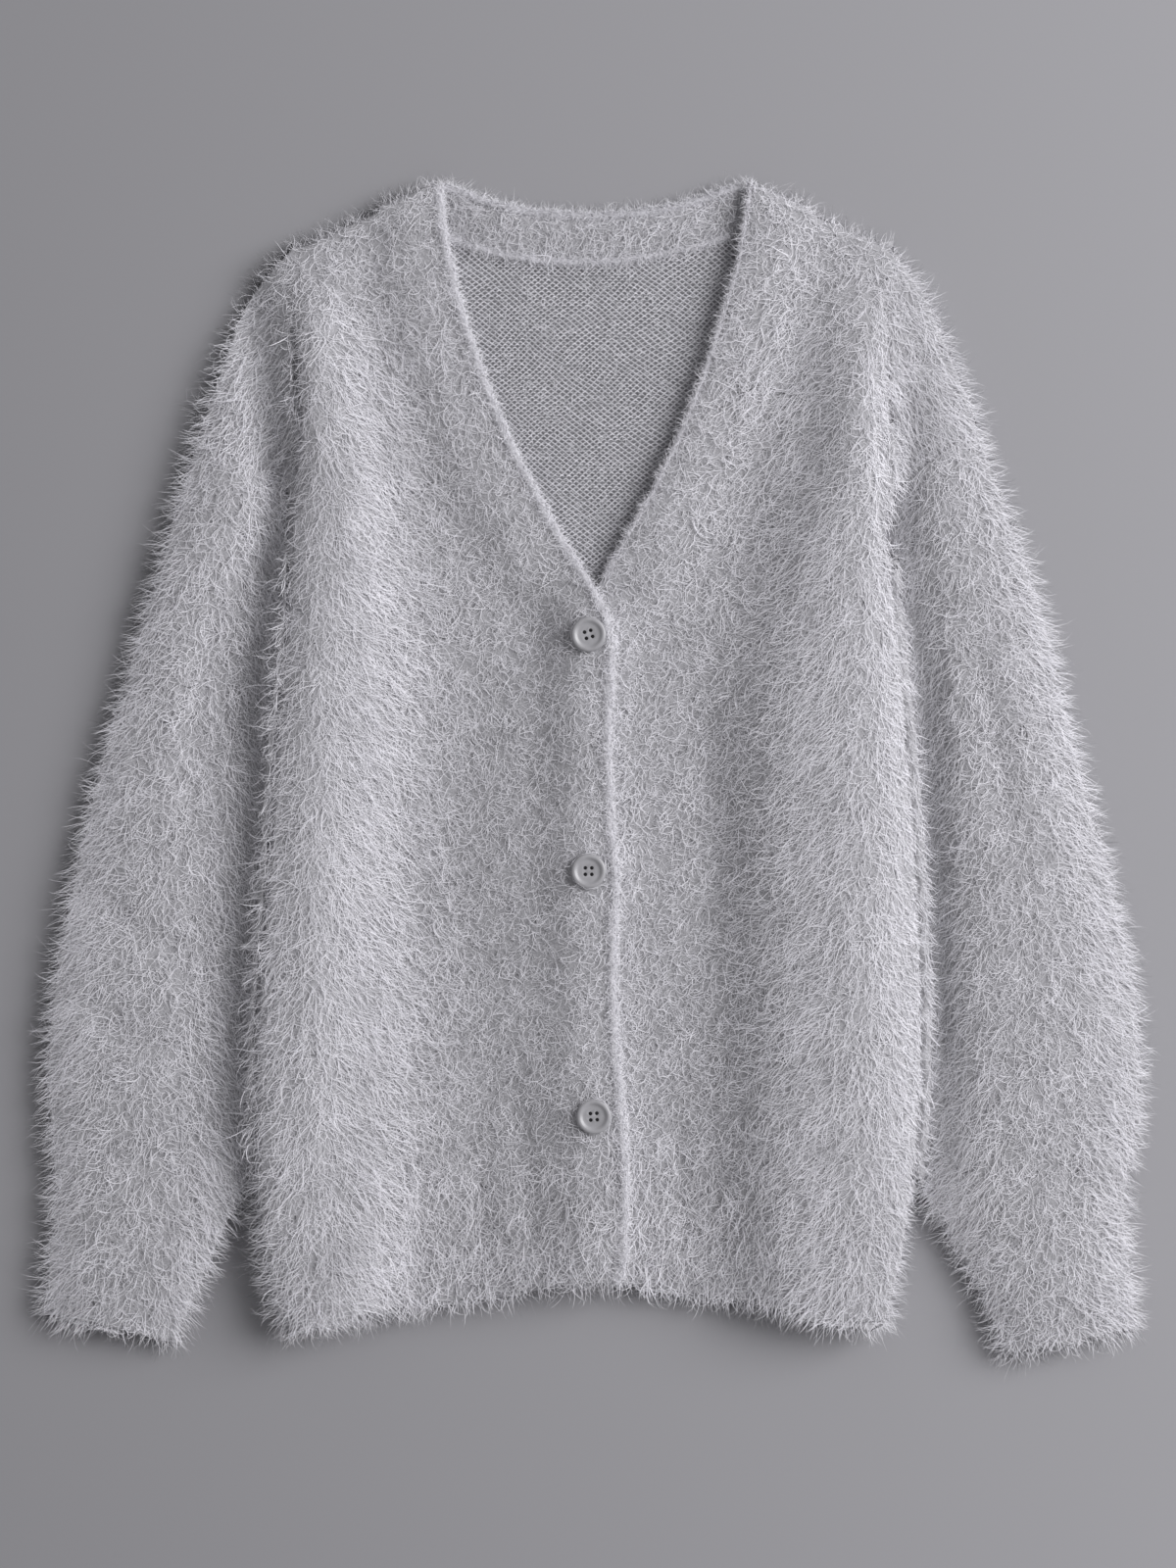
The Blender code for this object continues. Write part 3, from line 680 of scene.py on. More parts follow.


# %% [markdown]
# Seams in a brushed knit don't show: the panels on either side lie level. So the panels that are sewn
# together share one height, read on a grid and softened, and their points are set to it. The folds are
# drawn into the same height, each as a line with its own width and depth. Some belong to the arms
# or to the body alone: the arms sink beside the body, whose turned-under side swells above them.

# %% Level the seams and draw the folds
SEWN = {
    "right": ("front_right", "band_right", "hem_front_right"),
    "left": ("front_left", "band_left", "hem_front_left"),
    "arm_right": ("sleeve_right", "cuff_right"),
    "arm_left": ("sleeve_left", "cuff_left"),
}
GRID, SOFTEN = 2.5 * MM, 7 * MM
LOWEST = 5.5 * MM  # where a fold may not press the cloth lower
PLY = 1.2 * MM  # of a hidden layer below another, at least
PRESS, PRESS_FROM, PRESS_RAMP = 1.5 * MM, 9 * MM, 24 * MM  # the band round a button
FOLD_ENDS = 0.3  # of its length, over which a fold rises and dies away
TOP_FROM, TOP_RAMP = 0.35, 0.4  # of a normal's z: what lies flatter is levelled
FOLDS = [
    # points of the line (mm), half width (mm), height (mm, below 0 for a trough)
    ([(-114, 60), (-117, 0), (-122, -90), (-134, -190), (-150, -300)], 24, -5),
    ([(-186, 195), (-187, 175), (-189, 150), (-192, 110)], 9, -4),
    ([(-204, 325), (-197, 275), (-191, 230), (-187, 190), (-184, 140)], 14, -5),
    ([(-164, 335), (-164, 270), (-170, 190)], 42, 3),
    ([(-158, 290), (-162, 230), (-168, 165)], 14, 3.5),
    ([(-158, 170), (-160, 60), (-162, -60), (-164, -170), (-164, -290)], 20, 5),
    ([(172, 240), (178, 195), (181, 150), (184, 110)], 12, -2.5),
    ([(148, 290), (150, 240), (152, 190), (154, 140)], 20, 2.5),
    ([(150, 110), (153, 0), (153, -120), (150, -280)], 26, 2.6),
    ([(128, 110), (130, 0), (130, -120), (126, -290)], 58, 2.4),
    ([(2, 95), (16, 130), (33, 160), (48, 190), (60, 220), (70, 250), (79, 280), (86, 310), (96, 380)], 26, 2),
    ([(10, 70), (-16, 130), (-33, 160), (-48, 190), (-61, 220), (-72, 250), (-80, 280), (-96, 380)], 11, 1),
    ([(-232, 150), (-262, 60), (-285, -30)], 14, 1.2),
    ([(-214, 120), (-228, 30), (-236, -60)], 8, -1.6),
    ([(-300, -60), (-262, -92), (-224, -108)], 9, -1.8),
    ([(-306, -120), (-270, -150), (-236, -158)], 8, -1.4),
    ([(-300, -215), (-262, -226), (-222, -214)], 8, -1.5),
    ([(212, 110), (232, 20), (246, -70)], 8, -1.8),
    ([(300, -90), (266, -112), (232, -104)], 9, -1.6),
    ([(306, -160), (270, -186), (240, -190)], 8, -1.5),
    ([(298, -236), (262, -226), (226, -232)], 7, -1.4),
    ([(-150, 262), (-118, 214), (-98, 150)], 13, 1.4),
    ([(146, 262), (118, 210), (100, 140)], 13, 1.4),
    ([(-62, 40), (-84, -40), (-70, -130)], 12, -1.2),
    ([(-48, -150), (-40, -220), (-30, -292)], 7, -1.3),
    ([(-70, -190), (-62, -250), (-58, -300)], 6, -1.0),
    ([(58, 60), (74, -30), (66, -120)], 12, -1.2),
    ([(46, -180), (52, -240), (56, -296)], 7, -1.1),
]
ARM_FOLDS = [
    ([(-240, 150), (-246, 40), (-254, -60), (-260, -170), (-260, -300)], 56, -5),
    ([(-196, 175), (-206, 60), (-212, -60), (-217, -170), (-222, -300)], 23, -5.5),
    ([(188, 150), (194, 60), (198, -60), (204, -170), (208, -260)], 11, -4),
    ([(-186, 165), (-191, 110), (-197, 50), (-200, 0)], 17, -6),
]
BODY_FOLDS = [([(-182, 175), (-188, 60), (-190, -60), (-191, -170), (-189, -320)], 15, 5.0)]


def line_distance(x, y, path):
    """The distance to a line through these points, and how far along it the nearest place is, 0 to 1."""
    path = np.array(path) * MM
    legs = np.linalg.norm(np.diff(path, axis=0), axis=1)
    start = np.concatenate([[0], np.cumsum(legs)])
    best, at = np.full(len(x), 9.0), np.zeros(len(x))
    for k, leg in enumerate(legs):
        way = (path[k + 1] - path[k]) / leg
        t = np.clip((x - path[k, 0]) * way[0] + (y - path[k, 1]) * way[1], 0, leg)
        far = np.hypot(x - path[k, 0] - way[0] * t, y - path[k, 1] - way[1] * t)
        near = far < best
        best, at = np.where(near, far, best), np.where(near, (start[k] + t) / start[-1], at)
    return best, at


def folds(x, y, lines):
    """The height of these folds together, and of the band as it swells round each button."""
    total = np.zeros(len(x))
    for bx, by, _ in button_at.values():
        far = np.hypot(x - bx, y - by)
        total += PRESS * (1 - smooth((far - PRESS_FROM) / PRESS_RAMP))
    for path, width, height in lines:
        far, at = line_distance(x, y, path)
        ends = smooth(at / FOLD_ENDS) * smooth((1 - at) / FOLD_ENDS)
        total += height * MM * ends * np.exp(-((far / (width * MM)) ** 2))
    return total


def softened(values, there, spread):
    """A grid blurred over the places where there is cloth."""
    taps = np.exp(-0.5 * (np.arange(-9, 10) / spread) ** 2)
    for axis in (0, 1):
        values = sum(w * np.roll(values, k - 9, axis) for k, w in enumerate(taps))
        there = sum(w * np.roll(there, k - 9, axis) for k, w in enumerate(taps))
    return values / np.maximum(there, 1e-9)


def height_map(tree, margin):
    """The highest points over a grid that reaches past the garment, with none as NaN, and its corner."""
    low = box_low[:2] - margin
    size = np.ceil((box_high[:2] + margin - low) / GRID).astype(int)
    tops = np.full(size, np.nan)
    for i, j in np.ndindex(*size):
        top = top_at(tree, low[0] + i * GRID, low[1] + j * GRID)
        if top is not None:
            tops[i, j] = top.z
    return tops, low


def height_of(names):
    """A function that gives the softened height of some skins at any points."""
    tops, low = height_map(tree_of([skins[n]["piece"] for n in names]), 30 * MM)
    tops = np.nan_to_num(tops)
    field = softened(tops, (tops > 0).astype(float), SOFTEN / GRID)

    def read(x, y):
        u, v = (x - low[0]) / GRID, (y - low[1]) / GRID
        i, j = np.floor(u).astype(int), np.floor(v).astype(int)
        s, t = u - i, v - j
        near = field[i, j] * (1 - t) + field[i, j + 1] * t
        far = field[i + 1, j] * (1 - t) + field[i + 1, j + 1] * t
        return near * (1 - s) + far * s

    return read


for group, names in SEWN.items():
    height = height_of(names)
    lines = FOLDS + (ARM_FOLDS if group.startswith("arm") else BODY_FOLDS)
    for node in names:
        skin = skins[node]
        points = skin["points"].copy()
        x, y = points[:, 0], points[:, 1]
        share = smooth((skin["outward"][:, 2] - TOP_FROM) / TOP_RAMP)
        level_here = np.maximum(height(x, y) + folds(x, y, lines), LOWEST)
        points[:, 2] += share * (level_here - points[:, 2])
        points[:, 2] = np.minimum(points[:, 2], level_here)
        put(skin, points)
print("folds drawn:", len(FOLDS + ARM_FOLDS + BODY_FOLDS))


# %% [markdown]
# Where a fold is deep, the hidden layers below would show through the lowered top. They are pressed down
# under it, as they would be in the real garment. Then the underside of each front sinks onto what lies
# below it, so that no slit stays open along the outline.

# %% Press the hidden layers down
def upper_side(skin):
    """The points of a skin, and its seen triangles that look up."""
    _, normal, _ = face_facts(skin["points"], skin["triangles"])
    return skin["points"], skin["triangles"][skin["seen"] & (normal[:, 2] > LOOKS_UP)]


lid = tree_from(upper_side(skin) for skin in skins.values())
for node, skin in skins.items():
    points, triangles = skin["points"].copy(), skin["triangles"]
    hidden = ~touched(triangles[skin["seen"]], len(points))
    pressed = 0
    for k in np.flatnonzero(hidden):
        above = top_at(lid, points[k, 0], points[k, 1])
        if above is not None and points[k, 2] > above.z - PLY:
            points[k, 2] = max(above.z - PLY, 0)
            pressed += 1
    put(skin, points)
    print(node, "points pressed down:", pressed)

LIES_ON = (("front_", "back"), ("hem_front_", "hem_back"))
NEAR_PLY, RESTS_BY = 6 * MM, 0.1 * MM
RESTING = [(panel + side, below) for panel, below in LIES_ON for side, _ in SIDES]
for node, below in RESTING:
    skin, ply = skins[node], tree_of([skins[below]["piece"]])
    points = skin["points"].copy()
    _, normal, _ = face_facts(points, skin["triangles"])
    under = touched(skin["triangles"][normal[:, 2] < LOOKS_DOWN], len(points))
    for k in np.flatnonzero(under):
        on = ply.ray_cast(Vector(points[k]) + DOWN * 0.05 * MM, DOWN)[0]
        if on is not None and points[k, 2] - on.z < NEAR_PLY:
            points[k, 2] = on.z + RESTS_BY
    put(skin, points)


# %% [markdown]
# ## The finish of the skin
#
# Between the hairs one looks down on felted yarn: darker than the tips, uneven, with no clear stitches.
# Two noises make it, a fine one for the felt and a wide one for the yarn's heather. Both read the point
# on the piece in metres, so that the scale is real.

# %% Felted yarn
def felt(name, light, dark):
    finish = Finish(name)
    fine, wide = finish.noise(900.0, 3.0), finish.noise(45.0, 2.0)
    share = (fine - 0.35) * 1.6 + (wide - 0.5) * 0.5
    return finish.surface(
        Base_Color=finish.mix(share, grey(dark), grey(light)), Roughness=0.95,
        Normal=finish.bump(fine, 0.5, 0.8 * MM), Specular_IOR_Level=0.15,
    )


fluffy_felt = felt("fluffy_felt", 0.45, 0.29)
rib_felt = felt("rib_felt", 0.45, 0.29)
for node, skin in skins.items():
    fluffy = node in ("back", "front_right", "front_left", "sleeve_right", "sleeve_left")
    dress(skin["piece"], *((fluffy_felt, "fluffy_knit") if fluffy else (rib_felt, "rib_knit")))
    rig.replaces(skin["piece"], node)


# %% [markdown]
# ## Edges
#
# The bands end in a rolled edge: the last two wales curl over and make a fine, light cord along the V, down
# the free side of the closing and round the neck. Rays find where each band ends, so that the cords lie on
# the bands. The seam below the neck band stands up in the same way.

# %% Where the bands end
V_CLOSED = 106 * MM  # the height at which the two fronts meet
ROW_STEP = 4 * MM


def hits(node, starts, way):
    """Where the rays from these points meet one skin, or None."""
    tree = tree_of([skins[node]["piece"]])
    return [tree.ray_cast(Vector(start), Vector(way))[0] for start in starts]


def level_path(values, times):
    """A list of numbers, smoothed along its length."""
    values = np.array(values, float)
    for _ in range(times):
        inner = values[:-2] * 0.25 + values[1:-1] * 0.5 + values[2:] * 0.25
        values = np.concatenate([values[:1], inner, values[-1:]])
    return values


def way_off(slope, wearer):
    """The way that leads off a line of this slope, to the wearer's own side."""
    return unit(np.stack([np.ones_like(slope), -slope], 1)) * wearer


def side_edge(node, y, start, wearer):
    """The x of a band's free edge at each height, found by rays from above, half a millimetre apart."""
    tree = tree_of([skins[node]["piece"]])
    found = []
    for from_x, row in zip(start, y):
        x = from_x
        while abs(x) < 150 * MM and top_at(tree, x, row) is None:
            x += wearer * 0.5 * MM
        found.append(x)
    return level_path(found, 8)


edge_rows = {
    "band_right": np.arange(-294 * MM, 341 * MM, ROW_STEP),
    "band_left": np.arange(112 * MM, 341 * MM, ROW_STEP),
}
from_right = np.where(edge_rows["band_right"] < V_CLOSED + 12 * MM, 50 * MM, 0.0)
edge_x = {
    "band_right": side_edge("band_right", edge_rows["band_right"], from_right, -1),
    "band_left": side_edge("band_left", edge_rows["band_left"], np.zeros(len(edge_rows["band_left"])), 1),
}
for node in edge_x:
    print(node, "edge x from", edge_x[node].min().round(4), "to", edge_x[node].max().round(4))


# %% [markdown]
# `rolled_edge` lays a curve along such a line, gives it a round bevel that swells a little at each stitch,
# and makes it a mesh. Its height is read from the band just inside the edge.

# %% The rolled edges
STITCH, EDGE_STEP = 3.1 * MM, 0.8 * MM


def rolled_edge(name, band, path, inwards, radius, sink):
    """A fine cord of stitches along the edge of a band."""
    path = np.array(path)
    legs = np.linalg.norm(np.diff(path, axis=0), axis=1)
    along = np.concatenate([[0], np.cumsum(legs)])
    fine = np.arange(0, along[-1], EDGE_STEP)
    x, y = np.interp(fine, along, path[:, 0]), np.interp(fine, along, path[:, 1])
    probe = np.stack([x, y, np.full(len(x), HIGH)], 1)
    probe[:, :2] += np.stack([np.interp(fine, along, inwards[:, k]) for k in (0, 1)], 1)
    tops = hits(band, probe, DOWN)
    known = np.array([p is not None for p in tops])
    z = np.interp(fine, fine[known], [p.z for p in tops if p is not None])
    z = level_path(z, 60) - sink
    bpy.ops.object.select_all(action="DESELECT")
    bpy.ops.curve.primitive_nurbs_path_add()
    piece = bpy.context.object
    piece.name = piece.data.name = name
    piece.data.splines.clear()
    spline = piece.data.splines.new("POLY")
    spline.points.add(len(fine) - 1)
    wobble = 0.18 * MM * np.sin(fine / (7.3 * MM)) + 0.12 * MM * np.sin(fine / (2.9 * MM) + 1)
    line = np.stack([x + wobble, y, z, np.ones(len(x))], 1)
    spline.points.foreach_set("co", line.ravel())
    spline.points.foreach_set("radius", 1 + 0.10 * np.sin(2 * np.pi * fine / STITCH))
    piece.data.bevel_depth = radius
    piece.data.bevel_resolution = 2
    piece.data.use_fill_caps = True
    bpy.ops.object.convert(target="MESH")
    piece = bpy.context.object
    choose(piece)
    bpy.ops.object.shade_smooth()
    dress(piece, edge_yarn, "rib_knit")
    print(name, "length", round(float(fine[-1]), 3), "m")
    return piece


def yarn(name, light, dark, relief):
    """Spun yarn: fine fibres in the bump, and a soft heather of two greys."""
    finish = Finish(name)
    fibre, heather = finish.noise(2400.0, 4.0), finish.noise(260.0, 2.0)
    share = (fibre - 0.5) * 1.1 + (heather - 0.5) * 1.5 + 0.5
    return finish.surface(
        Base_Color=finish.mix(share, grey(dark), grey(light)), Roughness=0.9,
        Normal=finish.bump(fibre, relief, 0.4 * MM),
        Specular_IOR_Level=0.15, Sheen_Weight=0.2, Sheen_Roughness=0.5,
    )


edge_yarn = yarn("edge_yarn", 0.54, 0.44, 0.4)
purl_yarn = yarn("purl_yarn", 0.66, 0.40, 0.5)

ROLL = {"band_right": (2.9 * MM, 1.9 * MM), "band_left": (1.5 * MM, 1.4 * MM)}  # radius, and how deep it sits
edges = {}
for side, wearer in SIDES:
    node = "band_" + side
    y = edge_rows[node]
    x = edge_x[node] + wearer * 1.2 * MM
    out = way_off(np.gradient(x, y), wearer)
    path = np.stack([x, y], 1)
    edges[node] = [rolled_edge(node + "_edge", node, path, out * 3.4 * MM, *ROLL[node])]

NECK_POINTS = 40
SEAM_LINE = [
    (-86, 309.5), (-68, 303), (-50, 298), (-29, 295), (0, 294.2), (21, 296), (43, 299.6), (62, 304), (80, 310)
]  # mm
seam = np.array(SEAM_LINE) * MM
seam_x = np.linspace(seam[0, 0], seam[-1, 0], NECK_POINTS)
seam_y = level_path(np.interp(seam_x, seam[:, 0], seam[:, 1]), 6)
upwards = np.tile([0, 2.5 * MM], (NECK_POINTS, 1))
neck_x = np.linspace(-87 * MM, 87 * MM, NECK_POINTS)
beyond = np.stack([neck_x, np.full(NECK_POINTS, 0.38), np.full(NECK_POINTS, 4.5 * MM)], 1)
neck_y = level_path([p.y for p in hits(NECK, beyond, (0, -1, 0))], 4) - 0.4 * MM
edges[NECK] = [
    rolled_edge("neck_seam", NECK, np.stack([seam_x, seam_y], 1), upwards, 2.0 * MM, 0.5 * MM),
    rolled_edge("neck_edge", NECK, np.stack([neck_x, neck_y], 1), -upwards, 1.9 * MM, 1.1 * MM),
]


# %% [markdown]
# ## The inside of the back
#
# Through the V one looks at the wrong side of plain knitting, where every row of stitches shows as two rows
# of interlocking arcs. Each is one yarn that waves up and down, and each is shifted by about half a wave, so
# that the crests of one meet the hollows of the next and leave small dark gaps between. The yarn climbs over
# its neighbour either on its way up or on its way down, and where that changes, the slanting lines of the
# knit turn. All the rows are one mesh, made with arrays.

# %% Purl rows
PURL_WAVE, PURL_PITCH, PURL_SWING = 4.1 * MM, 1.62 * MM, 0.66 * MM
YARN_WIDTH, YARN_RISE = 0.40 * MM, 0.52 * MM
PURL_LEVEL = 5.9 * MM
PER_WAVE = 4
UNDER_BAND = 9 * MM  # how far a row runs on below a band
RING = np.radians([-12, 90, 192])  # the corners of the yarn's section, open below
LEAST = 3  # points in a row


def purl_rows():
    draw = np.random.default_rng(31)
    points, faces, count = [], [], 0
    across = np.arange(-V_HALF, V_HALF, 4 * MM)
    shift = np.zeros(len(across))  # how far the wave of this row has slid, all along it
    for row, y0 in enumerate(np.arange(V_CLOSED - 10 * MM, seam_y.max() + 4 * MM, PURL_PITCH)):
        left = np.interp(y0, edge_rows["band_right"], edge_x["band_right"]) - UNDER_BAND
        right = np.interp(y0, edge_rows["band_left"], edge_x["band_left"]) + UNDER_BAND
        x = np.arange(left, right, PURL_WAVE / PER_WAVE)
        slip = 0.9 * np.sin(x / (23 * MM) + row * 0.22) + 0.7 * np.sin(x / (9 * MM) - row * 0.35)
        slow, quick = across / (24 * MM) + row * 0.17, across / (9 * MM) - row * 0.45
        shift = shift + np.pi + 0.40 * np.sin(slow) + 0.28 * np.sin(quick)
        phase = 2 * np.pi * x / PURL_WAVE + np.interp(x, across, shift) + slip * 0.3
        drift = 0.22 * MM * np.sin(x / (17 * MM) + row * 0.16)
        y = y0 + PURL_SWING * np.sin(phase) + drift
        knots = np.arange(left - PURL_WAVE, right + 2 * PURL_WAVE, 1.5 * PURL_WAVE)
        loose = np.interp(x, knots, draw.normal(0, 1, len(knots)))
        lean = np.clip(1.4 * np.sin(x / (8 * MM) + 2.2 * math.sin(row * 0.16) + slip) + 0.6 * loose, -1, 1)
        z = PURL_LEVEL + 0.44 * MM * lean * np.cos(phase) + 0.10 * MM * loose
        y = y + 0.10 * MM * loose
        inside = np.flatnonzero(y < np.interp(x, seam_x, seam_y) + 0.6 * MM)
        if len(inside) < LEAST:
            continue
        for part in np.split(inside, np.flatnonzero(np.diff(inside) > 1) + 1):
            if len(part) < LEAST:
                continue
            line = np.stack([x[part], y[part], z[part]], 1)
            ahead = unit(np.gradient(line, axis=0))
            side = unit(np.cross(ahead, [0, 0, 1.0]))
            thick = 1 + draw.normal(0, 0.08, len(part))[:, None]
            wide, tall = side * YARN_WIDTH, np.array([0, 0, YARN_RISE])
            ring = [line + (wide * math.cos(angle) + tall * math.sin(angle)) * thick for angle in RING]
            points.append(np.stack(ring, 1).reshape(-1, 3))
            k = np.arange(len(part) - 1)[:, None] * 3 + np.arange(2)
            faces.append(np.stack([k, k + 3, k + 4, k + 1], 2).reshape(-1, 4) + count)
            count += len(part) * 3
    points, faces = np.concatenate(points), np.concatenate(faces)
    mesh = bpy.data.meshes.new("back_purl")
    mesh.from_pydata(points.tolist(), [], faces.tolist())
    flat = (points[:, :2] - points[:, :2].min(0)) / np.ptp(points[:, :2], axis=0).max()
    layer = mesh.uv_layers.new(name="OFBake")
    layer.uv.foreach_set("vector", flat[faces.ravel()].ravel().astype(np.float32))
    mesh.shade_smooth()
    return as_piece("back_purl", mesh)


purl = purl_rows()
dress(purl, purl_yarn, "fluffy_knit")
print("purl triangles:", 2 * len(purl.data.polygons))


# %% [markdown]
# ## The buttons
#
# Each button is turned from a disc: rounded at its rim, with a raised ring round a shallow dish, and four
# holes. The disc is a cylinder whose edges are beveled and whose top is inset several times, and the holes
# are cut with a boolean, because a drill goes through in the same way. Their walls are rough and painted
# near black: painted shade, for the dark inside of the holes.

# %% Turn a button
HOLE_RADIUS, HOLE_APART = 1.05 * MM, 3.7 * MM
HOLE_TURN = {"button_1": 17, "button_2": 0, "button_3": 3}  # degrees
RINGS = ((0.05, 0), (0.04, -0.03), (0.09, -0.20), (0.06, -0.06), (0.10, -0.01))  # insets, from the rim in


def resin(name, light, dark, rough):
    """Satin grey resin: a soft cloud of two greys and a faint turned grain."""
    finish = Finish(name)
    cloud, speck = finish.noise(190.0, 3.0), finish.noise(2600.0, 2.0)
    share = (cloud - 0.5) * 1.6 + (speck - 0.5) * 0.5 + 0.5
    return finish.surface(
        Base_Color=finish.mix(share, grey(dark), grey(light)), Roughness=(cloud - 0.5) * 0.2 + rough,
        Normal=finish.bump(speck, 0.18, 0.1 * MM), Coat_Weight=0.15, Coat_Roughness=0.3,
    )


button_resin = resin("button_resin", 0.32, 0.245, 0.42)
# painted shade: a near-black resin for the walls of the holes
drilled_resin = resin("drilled_resin", 0.03, 0.02, 0.8)


def turned_button(name, centre, radius, low, high, turn):
    thick, level = high - low, (low + high) / 2
    bpy.ops.object.select_all(action="DESELECT")
    bpy.ops.mesh.primitive_cylinder_add(vertices=72, radius=radius, depth=thick, location=(*centre, level))
    disc = bpy.context.object
    disc.name = disc.data.name = name + "_turned"
    bpy.ops.object.mode_set(mode="EDIT")
    bpy.ops.mesh.select_mode(type="EDGE")
    bpy.ops.mesh.select_all(action="DESELECT")
    shape = bmesh.from_edit_mesh(disc.data)
    for edge in shape.edges:
        edge.select = abs(edge.verts[0].co.z - edge.verts[1].co.z) < 1e-6
    shape.select_flush_mode()
    bmesh.update_edit_mesh(disc.data)
    bpy.ops.mesh.bevel(offset=0.42 * thick, segments=5, profile=0.5, affect="EDGES")
    bpy.ops.mesh.select_mode(type="FACE")
    bpy.ops.mesh.select_all(action="DESELECT")
    shape = bmesh.from_edit_mesh(disc.data)
    top = max(shape.faces, key=lambda face: face.calc_center_median().z)
    top.select = True
    bmesh.update_edit_mesh(disc.data)
    for width, rise in RINGS:
        bpy.ops.mesh.inset(thickness=width * radius, depth=rise * thick)
    bpy.ops.object.mode_set(mode="OBJECT")
    reach = HOLE_APART / math.sqrt(2)
    turns = [math.radians(turn + 45 + 90 * k) for k in range(4)]
    holes = [(centre[0] + reach * math.cos(angle), centre[1] + reach * math.sin(angle)) for angle in turns]
    for hole in holes:
        spot = (*hole, level)
        bpy.ops.object.select_all(action="DESELECT")
        bpy.ops.mesh.primitive_cylinder_add(vertices=24, radius=HOLE_RADIUS, depth=2 * thick, location=spot)
        drill = bpy.context.object
        choose(disc)
        cut = disc.modifiers.new("hole", "BOOLEAN")
        cut.operation, cut.object, cut.solver = "DIFFERENCE", drill, "EXACT"
        bpy.ops.object.modifier_apply(modifier=cut.name)
        bpy.data.objects.remove(drill)
    choose(disc)
    disc.data.materials.append(button_resin)
    disc.data.materials.append(drilled_resin)
    for face in disc.data.polygons:
        spot = (disc.matrix_world @ face.center).xy
        inside = min((spot - Vector(hole)).length for hole in holes) < 1.02 * HOLE_RADIUS
        # painted shade: the walls of the holes take the near-black resin
        face.material_index = int(inside and abs(face.normal.z) < 0.5)
    soft = disc.modifiers.new("soft_rims", "BEVEL")
    soft.width, soft.segments = 0.16 * MM, 2
    soft.limit_method, soft.angle_limit = "ANGLE", math.radians(55)
    bpy.ops.object.modifier_apply(modifier=soft.name)
    bpy.ops.object.transform_apply(location=True, rotation=True, scale=True)
    bpy.ops.object.shade_smooth_by_angle(angle=math.radians(38))
    return disc


for name, (*centre, radius) in button_at.items():
    low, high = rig.box(name)
    button = turned_button(name, centre, radius, low.z, high.z, HOLE_TURN[name])
    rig.ride(button, "root")
    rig.replaces(button, name)
    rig.slot(button, "button_resin")
    print(button.name, len(button.data.polygons), "faces")


# %% [markdown]
# ## The coat
#
# A brushed yarn has three kinds of hair: a short tangled down, longer guard hairs that lie down along the
# garment, and a few strays that stand away. At this size each strand is a flat ribbon of a few faces that
# narrows to a point. All of a panel's strands are one or two meshes, made with arrays.

# %% How one strand grows
def grow(root, normal, flow, length, lift, droop, bend, stations):
    """The points of each strand: it leaves the skin at an angle, lies down and turns."""
    side = np.cross(normal, flow)
    points, step = [root], (length / (stations - 1))[:, None]
    for k in range(stations - 1):
        along = (k + 0.5) / (stations - 1)
        rise = lift + (droop - lift) * along
        turn = bend * (along - 0.3)
        ahead = flow * np.cos(turn)[:, None] + side * np.sin(turn)[:, None]
        points.append(points[-1] + (ahead * np.cos(rise)[:, None] + normal * np.sin(rise)[:, None]) * step)
    return np.stack(points, 1)


CELL_KEY = np.array([73856093, 19349663, 83492791])  # primes that give each little cube its own number


def gather(strands, cell, pull, draw):
    """Pull the strands of each little cell towards one of them, most at the tip."""
    root = strands[:, 0] + draw.normal(0, 0.3 * cell, strands[:, 0].shape)
    key = np.floor(root / cell).astype(np.int64) @ CELL_KEY
    _, first, lock = np.unique(key, return_index=True, return_inverse=True)
    share = pull[:, None] * np.linspace(0, 1, strands.shape[1]) ** 1.3
    guide = strands[first][lock]
    return strands + (guide - strands) * share[:, :, None]


# %% [markdown]
# `ribbons` turns such lines into faces. It also writes two things for the finish: `strand`, with the
# strand's own tone and how far along it a point is, and a UV map with the same two numbers. `form` says how
# far a strand is shaded like the skin below it, which is how a coat shows the form that it covers.

# %% Ribbons from lines
TAPER = {3: (1.0, 0.85), 4: (0.85, 1.0, 0.7), 5: (0.8, 1.0, 0.9, 0.6)}  # the width along a strand, to its tip
MAP_WIDTH, MAP_EDGE = 0.002, 0.01  # of a strand on the map, and the map's margin


